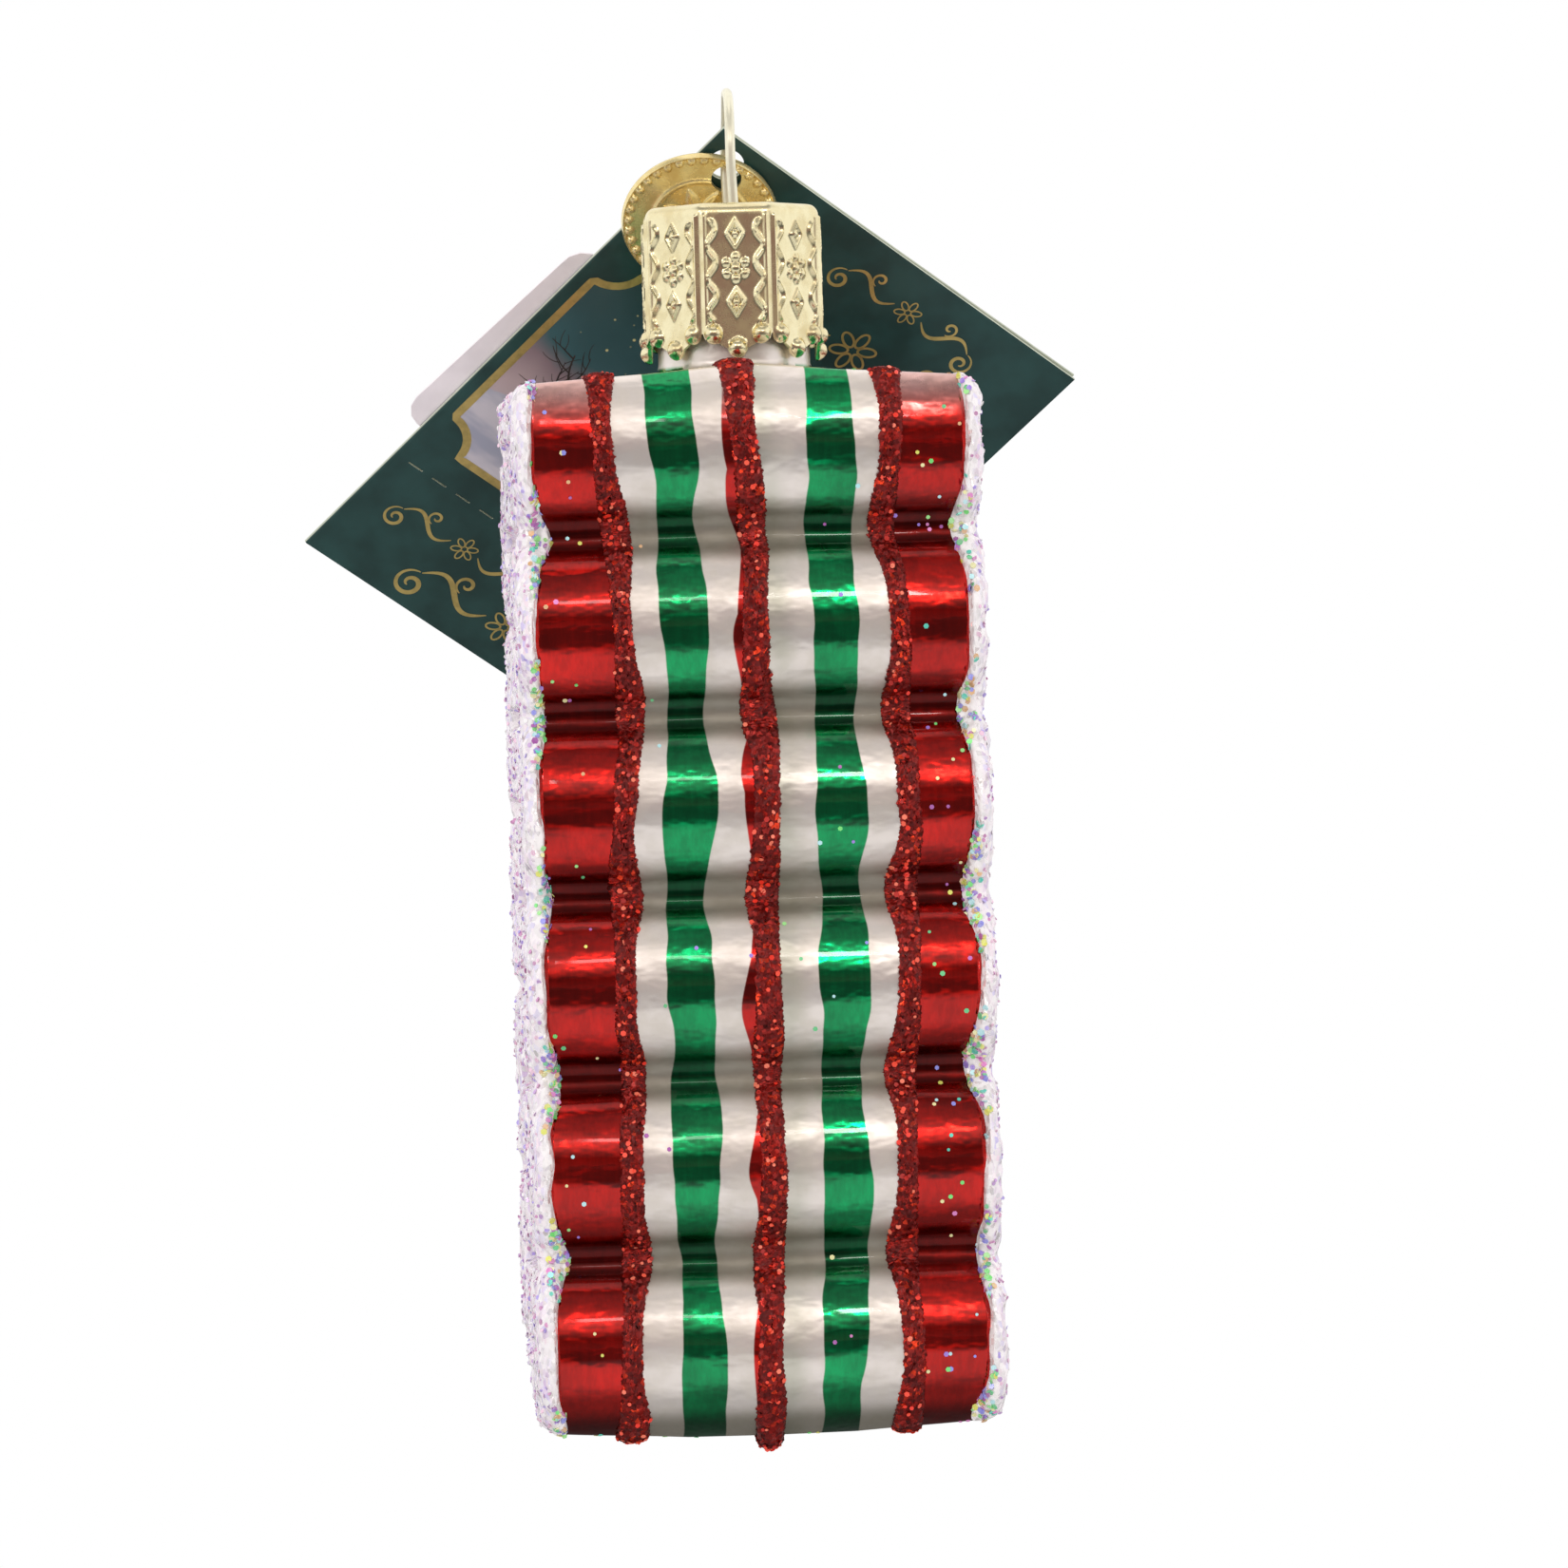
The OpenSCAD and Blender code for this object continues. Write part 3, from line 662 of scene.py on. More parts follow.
class Ribbon:
    """The folded wall of the glass in side view: round bends and valleys that meet at their tangents."""

    # Points along a bend, a valley, a corner and an end
    STEPS = (34, 14, 8, 26)

    def __init__(self, g, density=1.0):
        self.g = g
        steps = (ceil(count * density) for count in self.STEPS)
        self.bend_steps, self.valley_steps, self.corner_steps, self.end_steps = steps
        self.half_width = GLASS_HIGH.x
        self.reach = sqrt((g.bend_radius + g.valley_radius) ** 2 - (g.fold_pitch / 2) ** 2)
        self.meet = asin(g.fold_pitch / 2 / (g.bend_radius + g.valley_radius))
        start = g.upper_end + g.first_cut
        self.back = [start - g.fold_pitch * i for i in range(g.fold_count)]
        self.lower_end = start - g.fold_count * g.fold_pitch
        self.front = [z - g.fold_pitch / 2 for z in self.back]
        self.tail = np.array([sin(g.tail_slope), -cos(g.tail_slope)])
        self.uneven = Noise(11)

    def top(self, x):
        """Height of the upper end at a distance from the middle."""
        g = self.g
        return g.upper_end + g.crown_rise * (0.5 - abs(x) / self.half_width)

    def bottom(self, x):
        """Height of the lower end at a distance from the middle."""
        g = self.g
        return self.lower_end - g.crown_rise * (0.5 - abs(x) / self.half_width)

    def loop(self, x, inset):
        """Points of the side view at an inset, and the directions out of the wall there."""
        g = self.g
        radius, valley = g.bend_radius - inset, g.valley_radius + inset
        last_front = np.array([-g.bend_centre, self.front[-1]])
        last_back = np.array([g.bend_centre, self.back[-1]])
        high, low = self.top(x) - inset, self.bottom(x) + inset
        front_top = asin((high - self.front[0]) / radius)
        back_top = asin((high - self.back[0]) / radius)
        tail_turn = asin(self.tail[0])
        foot = asin(self.tail @ (last_front - last_back) / radius - 1) - tail_turn
        start = last_front + radius * np.array([-cos(foot), sin(foot)])
        end = start
        if start[1] < low:
            foot = asin((low - self.front[-1]) / radius)
            start = np.array([-g.bend_centre - radius * cos(foot), low])
            slant = (radius - self.tail[1] * (low - last_back[1])) / self.tail[0]
            end = np.array([g.bend_centre + slant, low])
        leave = last_back + radius * self.tail
        places, outs = [], []

        def arc(centre, size, side, first, last, steps, out=1):
            turn = np.linspace(first, last, steps, endpoint=False)
            way = np.stack([side * np.cos(turn), np.sin(turn)], -1)
            places.append(np.asarray(centre) + size * way)
            outs.append(out * way)

        def line(first, last, out):
            share = np.linspace(0, 1, self.end_steps, endpoint=False)[:, None]
            places.append(np.asarray(first) + share * (np.asarray(last) - first))
            outs.append(np.tile(out, (self.end_steps, 1)))

        def bends(side, heights, first, last):
            """Bends in the order given, with a valley after each but the last."""
            down = heights[0] > heights[-1]
            begin, stop = (self.meet, -self.meet) if down else (-self.meet, self.meet)
            for i, z in enumerate(heights):
                enter = first if i == 0 else begin
                leave_at = last if i == len(heights) - 1 else stop
                arc((side * g.bend_centre, z), radius, side, enter, leave_at, self.bend_steps)
                if i < len(heights) - 1:
                    middle = (side * (g.bend_centre + self.reach), (z + heights[i + 1]) / 2)
                    arc(middle, valley, -side, begin, stop, self.valley_steps, -1)

        front_corner = np.array([-g.bend_centre - radius * cos(front_top), high])
        back_corner = np.array([g.bend_centre + radius * cos(back_top), high])
        arc(front_corner, 0, -1, pi / 2, front_top, self.corner_steps)
        bends(-1, self.front, front_top, foot)
        arc(start, 0, -1, foot, -pi / 2, self.corner_steps)
        line(start, end, (0, -1))
        arc(end, 0, 1, -pi / 2, tail_turn - pi / 2, self.corner_steps)
        line(end, leave, self.tail)
        bends(1, self.back[::-1], tail_turn - pi / 2, back_top)
        arc(back_corner, 0, 1, back_top, pi / 2, self.corner_steps)
        line(back_corner, front_corner, (0, 1))
        return np.concatenate(places), np.concatenate(outs)

    def ridge(self, x, y):
        """How far the wall falls back from the centre ridge."""
        soft, fade = self.g.ridge_soft, 4 * MM
        fall = (np.sqrt(x * x + soft * soft) - soft) * tan(self.g.ridge_angle)
        return -np.sign(y) * fall * np.clip(np.abs(y) / fade, 0, 1)

    def skin(self, x, lift=0.0, inset=0.0, sway=0.0):
        """Points at a height over the wall for one x; lift and sway may change along the loop."""
        g = self.g
        place, out = self.loop(x, inset + g.end_round)
        across = np.full(len(place), x) + sway
        points = np.c_[across, place]
        lift = g.end_round + lift + g.ripple * self.uneven(points, 8 * MM)
        points[:, 1:] += out * np.reshape(lift * np.ones(len(place)), (-1, 1))
        points[:, 1] += self.ridge(across, points[:, 1])
        return points

    def row_distance(self, out, z, heights):
        """Signed distance to one face; out is measured away from the middle plane."""
        g = self.g
        nearest = np.clip(np.round((heights[0] - z) / g.fold_pitch), 0, len(heights) - 1)
        up = z - (heights[0] - g.fold_pitch * nearest)
        bend = np.hypot(np.maximum(out - g.bend_centre, 0), up) - g.bend_radius
        between = ((up > 0) & (nearest > 0)) | ((up < 0) & (nearest < len(heights) - 1))
        in_valley = between & ((out - g.bend_centre) * g.fold_pitch / 2 < np.abs(up) * self.reach)
        valley = g.valley_radius - np.hypot(out - g.bend_centre - self.reach, np.abs(up) - g.fold_pitch / 2)
        return np.where(in_valley, valley, bend)

    def distance(self, x, y, z):
        """Signed distance of points to the body in side view, its ends included."""
        g = self.g
        fall = np.abs(x) * tan(g.ridge_angle)
        front = self.row_distance(-y + fall, z, self.front)
        back = self.row_distance(y + fall, z, self.back)
        along = -(y - g.bend_centre) * cos(g.tail_slope) - (z - self.back[-1]) * sin(g.tail_slope)
        out = y + fall - g.bend_centre
        under = out * self.tail[0] + (z - self.back[-1]) * self.tail[1] - g.bend_radius
        back = np.where(along > 0, under, back)
        return np.maximum(np.maximum(front, back), np.maximum(z - self.top(x), self.bottom(x) - z))

    def valley_depth(self, y, z):
        """1 in the middle of a valley of the nearer face, 0 on a bend."""
        g = self.g
        shift = np.where(y < 0, self.front[0], self.back[0])
        return 0.5 - 0.5 * np.cos(2 * pi * (z - shift) / g.fold_pitch)

    def gap_distance(self, y, z):
        """Signed distance to the gaps between the layers, seen from the side."""
        g = self.g
        best = np.full(np.shape(y), 1.0)
        for side, heights in ((-1, self.back[1:]), (1, self.front)):
            inner = -side * g.bend_centre
            short = np.maximum(side * (inner - y), 0)
            for height in heights:
                best = np.minimum(best, np.hypot(short, z - height))
        return best - g.layer_gap / 2


def step_up(value, low, high):
    """A smooth step from 0 to 1."""
    share = np.clip((value - low) / (high - low), 0, 1)
    return share * share * (3 - 2 * share)


def rounded_edge(first, second, radius):
    """Signed distance to a body between two faces, with a rounded edge where they meet."""
    first, second = first + radius, second + radius
    outside = np.hypot(np.maximum(first, 0), np.maximum(second, 0))
    return np.minimum(np.maximum(first, second), 0) + outside - radius


# Glass


# Lean of the glitter lines at distances below the loop, both in millimetres: the left line, -1, and the
# right line, 1, lean towards the middle, and the centre line, 0, to the right
LEAN = {
    0: [(23, -1.0), (30, -0.6), (37, 0.1), (60, 0.35), (86, 0.3), (98, 0.0), (109, -0.6)],
    -1: [
        (23, -0.2), (31, 0.2), (42, 1.4), (52, 1.7), (62, 0.7), (72, 0.6), (86, 0.75), (98, 0.5), (109, 0.1)
    ],
    1: [(23, 0.4), (35, 0.9), (42, 0.1), (60, -0.3), (71, 0.1), (86, 0.7), (109, 0.5)],
}

# The same for a material's ramp: its upper end, its length and the most lean it can hold
LEAN_TOP, LEAN_LENGTH, LEAN_MOST = 22.0, 90.0, 2.0

# How much further the left and the right line lean in the valleys, in millimetres
VALLEY_LEAN = 0.45


def lean(line, z):
    """How far a glitter line leans at a height."""
    return MM * np.interp(-z / MM, *zip(*LEAN[line]))


def lean_node(t, line, z):
    """The same lean in a material, in millimetres."""
    share = t.math("MULTIPLY_ADD", z, -1 / LEAN_LENGTH, -LEAN_TOP / LEAN_LENGTH)
    stops = []
    for down, shift in LEAN[line]:
        stops.append(((down - LEAN_TOP) / LEAN_LENGTH, [0.5 + 0.5 * shift / LEAN_MOST] * 3))
    return t.math("MULTIPLY_ADD", t.ramp(share, stops), 2 * LEAN_MOST, -LEAN_MOST)


# Softness of a painted edge, in millimetres
PAINT_EDGE = 0.07


def lacquer_material(g):
    """Silvered glass with stripes of red and green lacquer between satin pearl white."""
    t = Tree.material("lacquered_glass", Coat_Roughness=0.03, Coat_IOR=1.5)
    place, x, y, z = t.object_place()
    top, crown = g.upper_end / MM, (g.upper_end + g.crown_rise / 2) / MM
    first_bend = (g.upper_end + g.first_cut - g.fold_pitch / 2) / MM
    aside, side, face = t.math("ABSOLUTE", x), t.math("SIGN", x), t.smooth(y, -6.0, 6.0, -1.0, 1.0)
    turn = t.times(t.minus(z, first_bend), 2 * pi * MM / g.fold_pitch)
    lobe = t.times(t.math("COSINE", turn), t.times(face, -1.0))
    valley = t.math("POWER", t.math("MULTIPLY_ADD", lobe, -0.5, 0.5), 2.0)

    def hand(spread, seed, pace):
        """Unsteadiness of a hand-painted edge along the body's height."""
        depth = t.math("MULTIPLY_ADD", face, 0.7, -1.6 - seed)
        spot = t.join(t.times(side, seed), t.times(z, pace), depth)
        return t.times(t.minus(t.noise(spot, 1.0, 1.0), 0.5), spread)

    inward = t.blend(t.math("GREATER_THAN", x, 0.0), lean_node(t, -1, z), lean_node(t, 1, z))
    away = t.plus(aside, hand(2.6, 4.1, 0.04), hand(1.1, 9.3, 0.21), t.times(inward, 0.65))
    half = t.plus(hand(1.5, 6.7, 0.09), g.green_half / MM, t.times(lobe, 0.16))
    off_green = t.minus(t.math("ABSOLUTE", t.minus(away, g.green_place / MM)), half)
    green = t.smooth(off_green, PAINT_EDGE, -PAINT_EDGE)
    off_line = t.plus(aside, inward, t.times(valley, VALLEY_LEAN), hand(0.7, 9.3, 0.21))
    red = t.smooth(off_line, g.red_start / MM - PAINT_EDGE, g.red_start / MM + PAINT_EDGE)
    off_centre = t.minus(x, lean_node(t, 0, z))
    run = t.plus(t.most(hand(5.0, 3.3, 0.11), 0.0), t.times(lobe, 0.35))
    seep = t.smooth(t.plus(off_centre, run, 1.2), -PAINT_EDGE, PAINT_EDGE)
    red = t.most(red, t.times(seep, t.smooth(off_centre, 0.1, -0.1)))
    body = t.smooth(z, crown + 0.4, crown)
    # Near the upper end the red fades towards pearl white: a painted pale reflection where the glass turns
    # upwards
    thin = t.smooth(z, top - 4.2, top - 0.4, 1.0, 0.4)
    green, red = t.times(green, body), t.times(red, body, thin)
    lacquer = t.most(green, red)
    # Painted shade in the valleys between the bends: there the pearl and the lacquer are darkened and the
    # coat is thinner
    valley_shade = t.times(t.smooth(lobe, -0.35, -0.93), body, t.smooth(z, top - 0.3, top - 2.6))

    haze = t.noise(place, 0.42, 3.0, 0.6)
    pearl = t.mix(t.smooth(haze, 0.35, 0.7), g.pearl, dimmed(g.pearl, 0.93, 0.93, 0.9))
    # Just right of the centre line the pearl is made greyer in a patchy strip up to about 3.8 mm wide
    grey_strip = t.times(t.smooth(off_centre, 3.8, 1.5), t.smooth(off_centre, 0.0, 0.6))
    grey_strip = t.times(grey_strip, t.smooth(t.noise(place, 0.3, 2.0), 0.3, 0.65, 0.5, 1.0))
    pearl = t.mix(grey_strip, pearl, t.mix(1.0, pearl, (0.74, 0.78, 0.72), "MULTIPLY"))
    paint = t.mix(red, t.mix(green, pearl, g.green), g.red)
    clouds = t.smooth(t.noise(place, 0.16, 3.0), 0.3, 0.72, 1.15, 0.7)
    strokes = t.noise(t.vector("MULTIPLY", place, (1.9, 1.9, 0.22)), 1.0, 3.0, 0.6)
    # The lacquer's colour varies at random in clouds and brush strokes, and in the valleys it is darkened to
    # a fifth as painted shade; the pearl gets its painted valley shade too
    depth = t.times(clouds, t.smooth(strokes, 0.3, 0.7, 1.1, 0.84), t.blend(valley_shade, 1.0, 0.2))
    shade = t.mix(valley_shade, (1, 1, 1), (0.37, 0.37, 0.33))
    tint = t.mix(lacquer, shade, t.join(depth, depth, depth))
    satin, gloss = t.smooth(haze, 0.3, 0.75, 0.34, 0.44), t.smooth(haze, 0.3, 0.75, 0.12, 0.22)
    dents = t.noise(t.vector("MULTIPLY", place, (0.6, 1.0, 1.0)), 0.3, 3.0)
    return t.finish(
        Base_Color=t.mix(1.0, paint, tint, "MULTIPLY"),
        Metallic=t.blend(lacquer, 0.8, 1.0),
        Roughness=t.plus(t.blend(lacquer, satin, gloss), t.times(valley_shade, 0.14)),
        Coat_Weight=t.times(t.blend(lacquer, 0.12, 0.65), t.blend(valley_shade, 1.0, 0.5)),
        Normal=t.bump(dents, 0.35 * MM, 0.75),
    )


def revolve(profile, columns, start=0):
    """Points and faces of a closed body turned round Z; the profile runs from the axis to the axis."""
    rows = len(profile)
    rings = np.array([np.c_[radius * circle(columns), np.full(columns, z)] for radius, z in profile])
    faces = grid_faces(rows, columns, wrap_columns=True, start=start)
    return rings.reshape(-1, 3), faces, end_faces(rows, columns, start)


def neck_profile(g, top):
    """Neck from the axis below, up its outside, over the fire-polished rim and down the bore."""
    axis, foot, sunk = 0.05 * MM, g.upper_end + g.crown_rise / 2, 0.35 * MM
    outer, bore, fillet = g.neck_radius, g.neck_radius - g.neck_wall, g.neck_fillet
    deep, sheet = foot - 6 * MM, 1 * MM
    points = [(axis, deep - sheet), (bore, deep - sheet), (outer + fillet, foot - 1.1 * MM)]
    for turn in np.linspace(0, pi / 2, 9):
        points.append((outer + fillet * (1 - sin(turn)), foot - sunk + fillet * (1 - cos(turn))))
    rim = g.neck_wall / 2
    for turn in np.linspace(0, pi, 9):
        points.append((outer - rim + rim * cos(turn), top - rim + rim * sin(turn)))
    return points + [(bore, deep + sheet), (0.6 * bore, deep), (axis, deep)]


class ORNAMENT_OT_glass_body(Operator):
    """Makes the folded glass body with its painted stripes and its neck"""

    bl_idname = "ornament.glass_body"
    bl_label = "Glass body"

    def execute(self, context):
        g = context.scene.ornament_glass
        ribbon = Ribbon(g)
        columns = self.columns(g, ribbon.half_width)
        loops = np.array([ribbon.skin(x, inset=inset) for x, inset in columns])
        rows, count = loops.shape[:2]
        wall, sides = grid_faces(rows, count, wrap_columns=True), end_faces(rows, count)
        neck, faces, ends = revolve(neck_profile(g, GLASS_HIGH.z), 96, rows * count)
        points = np.concatenate([loops.reshape(-1, 3), neck])
        mesh = make_mesh("glass_body_skin", points, wall, sides, faces, ends)
        paint = lacquer_material(g)
        add_piece(mesh, paint, "ornament", ["glass_body"], sharp=radians(50))
        return {"FINISHED"}

    @staticmethod
    def columns(g, half_width):
        """Places across the body with the wall's inset: over the faces, round the edges, into the sides."""
        flat = half_width - g.side_round
        edge = []
        for turn in np.linspace(0, pi / 2, 9)[1:]:
            edge.append((flat + g.side_round * sin(turn), g.side_round * (1 - cos(turn))))
        edge.append((half_width, g.side_round + g.side_rim))
        edge.append((half_width - 1.5 * g.layer_depth, g.side_round + 1.1 * g.side_rim))
        left = [(-x, inset) for x, inset in edge[::-1]]
        return left + [(x, 0.0) for x in np.linspace(-flat, flat, 101)] + edge


# Glitter


def red_glitter_material(s):
    """Fine red glitter in glue."""
    t = Tree.material("red_glitter", Coat_Weight=0.25, Coat_Roughness=0.2)
    place = t.object_place()[0]
    fine = t.use(sparkle_group(), Place=place, Cells=2.9, Tilt=0.9)
    # Each cell is painted at random between a shaded and a lit red, and a few cells are painted bright
    # orange as glints
    shade = t.times(fine["Random"], fine["Random"])
    tint = t.mix(shade, s.red_dark, s.red_light)
    painted_glint = t.smooth(fine["Second"], 0.9, 0.97)
    return t.finish(
        Base_Color=t.mix(painted_glint, tint, (0.9, 0.06, 0.02)),
        Metallic=t.blend(fine["Second"], 0.55, 0.95),
        Roughness=t.smooth(fine["Random"], 0.0, 1.0, 0.42, 0.2),
        Normal=fine["Normal"],
    )


def white_glitter_material(s):
    """Iridescent sugar-white glitter in milky glue."""
    t = Tree.material("white_glitter", Coat_Weight=0.2, Coat_Roughness=0.25)
    place, x = t.object_place()[:2]
    grains = t.vector("MULTIPLY", place, (1.0, 1.25, 0.75))
    fine = t.use(sparkle_group(), Place=grains, Cells=2.6, Tilt=0.8)
    film = t.ramp(
        fine["Random"],
        [
            (0.0, (0.62, 0.38, 0.72)),
            (0.16, (0.93, 0.80, 0.90)),
            (0.45, (0.97, 0.91, 0.92)),
            (0.62, (0.60, 0.52, 0.90)),
            (0.74, (0.95, 0.70, 0.82)),
            (0.9, (0.94, 0.92, 0.92)),
            (1.0, (0.90, 0.80, 0.88)),
        ],
    )
    outer = t.smooth(t.math("ABSOLUTE", x), GLASS_HIGH.x / MM - 0.1, GLASS_HIGH.x / MM + 0.5)
    patches = t.times(t.smooth(t.noise(place, 0.2, 2.0), 0.35, 0.7, 0.5, 1.0), outer)
    return t.finish(
        Base_Color=t.mix(t.blend(patches, 0.08, 0.9), s.white, film),
        Metallic=t.smooth(fine["Second"], 0.5, 0.95, 0.0, 0.4),
        Roughness=t.smooth(fine["Second"], 0.2, 1.0, 0.5, 0.2),
        Normal=fine["Normal"],
    )


def flake_material(name, tints, metal, rough, pale=0.2):
    """Cut film: each flake has one tint of its own."""
    t = Tree.material(name, Metallic=metal, Coat_Weight=0.15, Coat_Roughness=0.1)
    own = t.node("NewGeometry").outputs["Random Per Island"]
    stops = [(i / len(tints), tint) for i, tint in enumerate(tints)]
    place = t.object_place()[0]
    clouds = t.noise(place, 2.5, 2.0)
    return t.finish(
        Base_Color=t.mix(t.smooth(clouds, 0.3, 0.7, 0.0, pale), t.ramp(own, stops, True), (1, 1, 1)),
        Roughness=t.smooth(clouds, 0.3, 0.7, rough, rough + 0.12),
    )


PASTELS = [
    (0.22, 0.85, 0.22), (0.85, 0.85, 0.16), (0.12, 0.72, 0.56), (0.34, 0.34, 0.92),
    (0.8, 0.26, 0.62), (0.4, 0.9, 0.3), (0.5, 0.14, 0.5), (0.55, 0.9, 0.95),
    (0.16, 0.66, 0.28), (0.4, 0.24, 0.8), (0.95, 0.9, 0.45), (0.85, 0.5, 0.25),
]
# Tints of the red flakes on the bands: the darker reds are their own colour, the bright orange ones are
# painted glints
RED_TONES_AND_GLINTS = [
    (0.95, 0.04, 0.02), (1.0, 0.12, 0.065), (0.55, 0.02, 0.012),
    (1.0, 0.08, 0.04), (0.45, 0.015, 0.01), (1.0, 0.22, 0.13),
]
PINKS = [
    (0.62, 0.36, 0.72), (0.96, 0.9, 0.93), (0.48, 0.36, 0.85),
    (0.95, 0.62, 0.78), (0.97, 0.93, 0.93), (0.68, 0.28, 0.55),
]


def scatter(name, mesh, keep, count, radius, tilt, material, seed):
    """Large flakes stuck to a finished mesh at the points that keep allows."""
    rng = np.random.default_rng(seed)
    points, normals = np.empty((2, len(mesh.vertices), 3))
    mesh.vertices.foreach_get("co", points.ravel())
    mesh.vertex_normals.foreach_get("vector", normals.ravel())
    spots = rng.choice(np.flatnonzero(keep(points, normals)), count, replace=False)
    plates = flakes(points[spots], normals[spots], radius, 0.25 * radius, tilt, rng)
    add_piece(make_mesh(name, *plates), material, "ornament", sharp=radians(30))


def band_points(ribbon, s, place, drop, seed):
    """Sections of a lumpy glitter rope along the loop, each from one edge over the top to the other."""
    rng = np.random.default_rng(seed)
    line = round(place / (10 * MM))
    base = ribbon.skin(place)
    along = base * [0, 1, 1] + [place * 7, 0, 0]
    valley = ribbon.valley_depth(base[:, 1], base[:, 2]) ** 2
    shift = lean(line, base[:, 2])
    sway = 0.3 * MM * ribbon.uneven(along, 11 * MM) + 0.16 * MM * ribbon.uneven(along, 3 * MM)
    sway = sway + (-line * (shift + VALLEY_LEAN * MM * valley) if line else shift)
    bulge = 0.3 * valley * (1 + 0.7 * ribbon.uneven(along + 9, 9 * MM))
    width = (0.8 if line else 0.95) + 0.15 * ribbon.uneven(along + 5, 4 * MM) + bulge
    foot = step_up(-base[:, 2], -ribbon.bottom(place) - 2.5 * MM, -ribbon.bottom(place))
    swell = 0.85 + 0.25 * ribbon.uneven(along + 3, 2 * MM) + drop * foot
    sections = []
    for share in np.linspace(-1, 1, 21):
        arch = sqrt(max(0.0, 1 - abs(share) ** 2.4))
        lift = s.band_height * arch * swell - 0.08 * MM
        lift = lift + s.grain * (0.35 + 0.65 * arch) * rng.uniform(-0.4, 0.6, len(base))
        offset = share * s.band_half * width + sway + 0.07 * MM * rng.normal(size=len(base))
        sections.append(ribbon.skin(place, lift, sway=offset))
    for share in (0.7, -0.7):
        sections.append(ribbon.skin(place, -0.3 * MM, sway=share * s.band_half + sway))
    return np.stack(sections, 1)


class ORNAMENT_OT_glitter_bands(Operator):
    """Makes the three raised bands of red glitter round the body"""

    bl_idname = "ornament.glitter_bands"
    bl_label = "Red glitter bands"

    def execute(self, context):
        g, s = context.scene.ornament_glass, context.scene.ornament_glitter
        ribbon = Ribbon(g, density=2.2)
        rope = red_glitter_material(s)
        # The band flakes carry painted glints among their red tints
        red_flakes_and_glints = flake_material("red_flakes", RED_TONES_AND_GLINTS, 0.1, 0.25, 0.0)
        for seed, side in enumerate(("left", "centre", "right")):
            node, closed = "glitter_band_" + side, side != "centre"
            low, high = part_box(node)
            drop = 0.3 if closed else 1.7
            sections = band_points(ribbon, s, (low.x + high.x) / 2, drop, 100 + seed)
            if not closed:
                sections = self.open_at_neck(ribbon, sections)
            rows, columns = sections.shape[:2]
            faces = grid_faces(rows, columns, wrap_rows=closed, wrap_columns=True)
            ends = [] if closed else end_faces(rows, columns)
            mesh = make_mesh(node + "_rope", sections, faces, ends)
            add_piece(mesh, rope, "ornament", [node])
            size = 0.74 * s.flake_radius
            scatter(
                node + "_flakes", mesh, self.on_top, s.band_flakes, size, 0.25,
                red_flakes_and_glints, 200 + seed,
            )
        return {"FINISHED"}

    @staticmethod
    def on_top(points, normals):
        """Allows the points that don't lie on a rope's flanks."""
        return np.abs(normals[:, 0]) < 0.8

    @staticmethod
    def open_at_neck(ribbon, sections):
        """The centre rope runs from the neck's front round the foot to the neck's back."""
        clear = ribbon.g.neck_radius + 0.75 * ribbon.g.neck_fillet
        top = np.arange(len(sections) - ribbon.end_steps, len(sections))
        across = sections[top, 10, 1]
        order = np.concatenate([top[across < -clear], np.arange(top[0]), top[across > clear]])
        return sections[order]


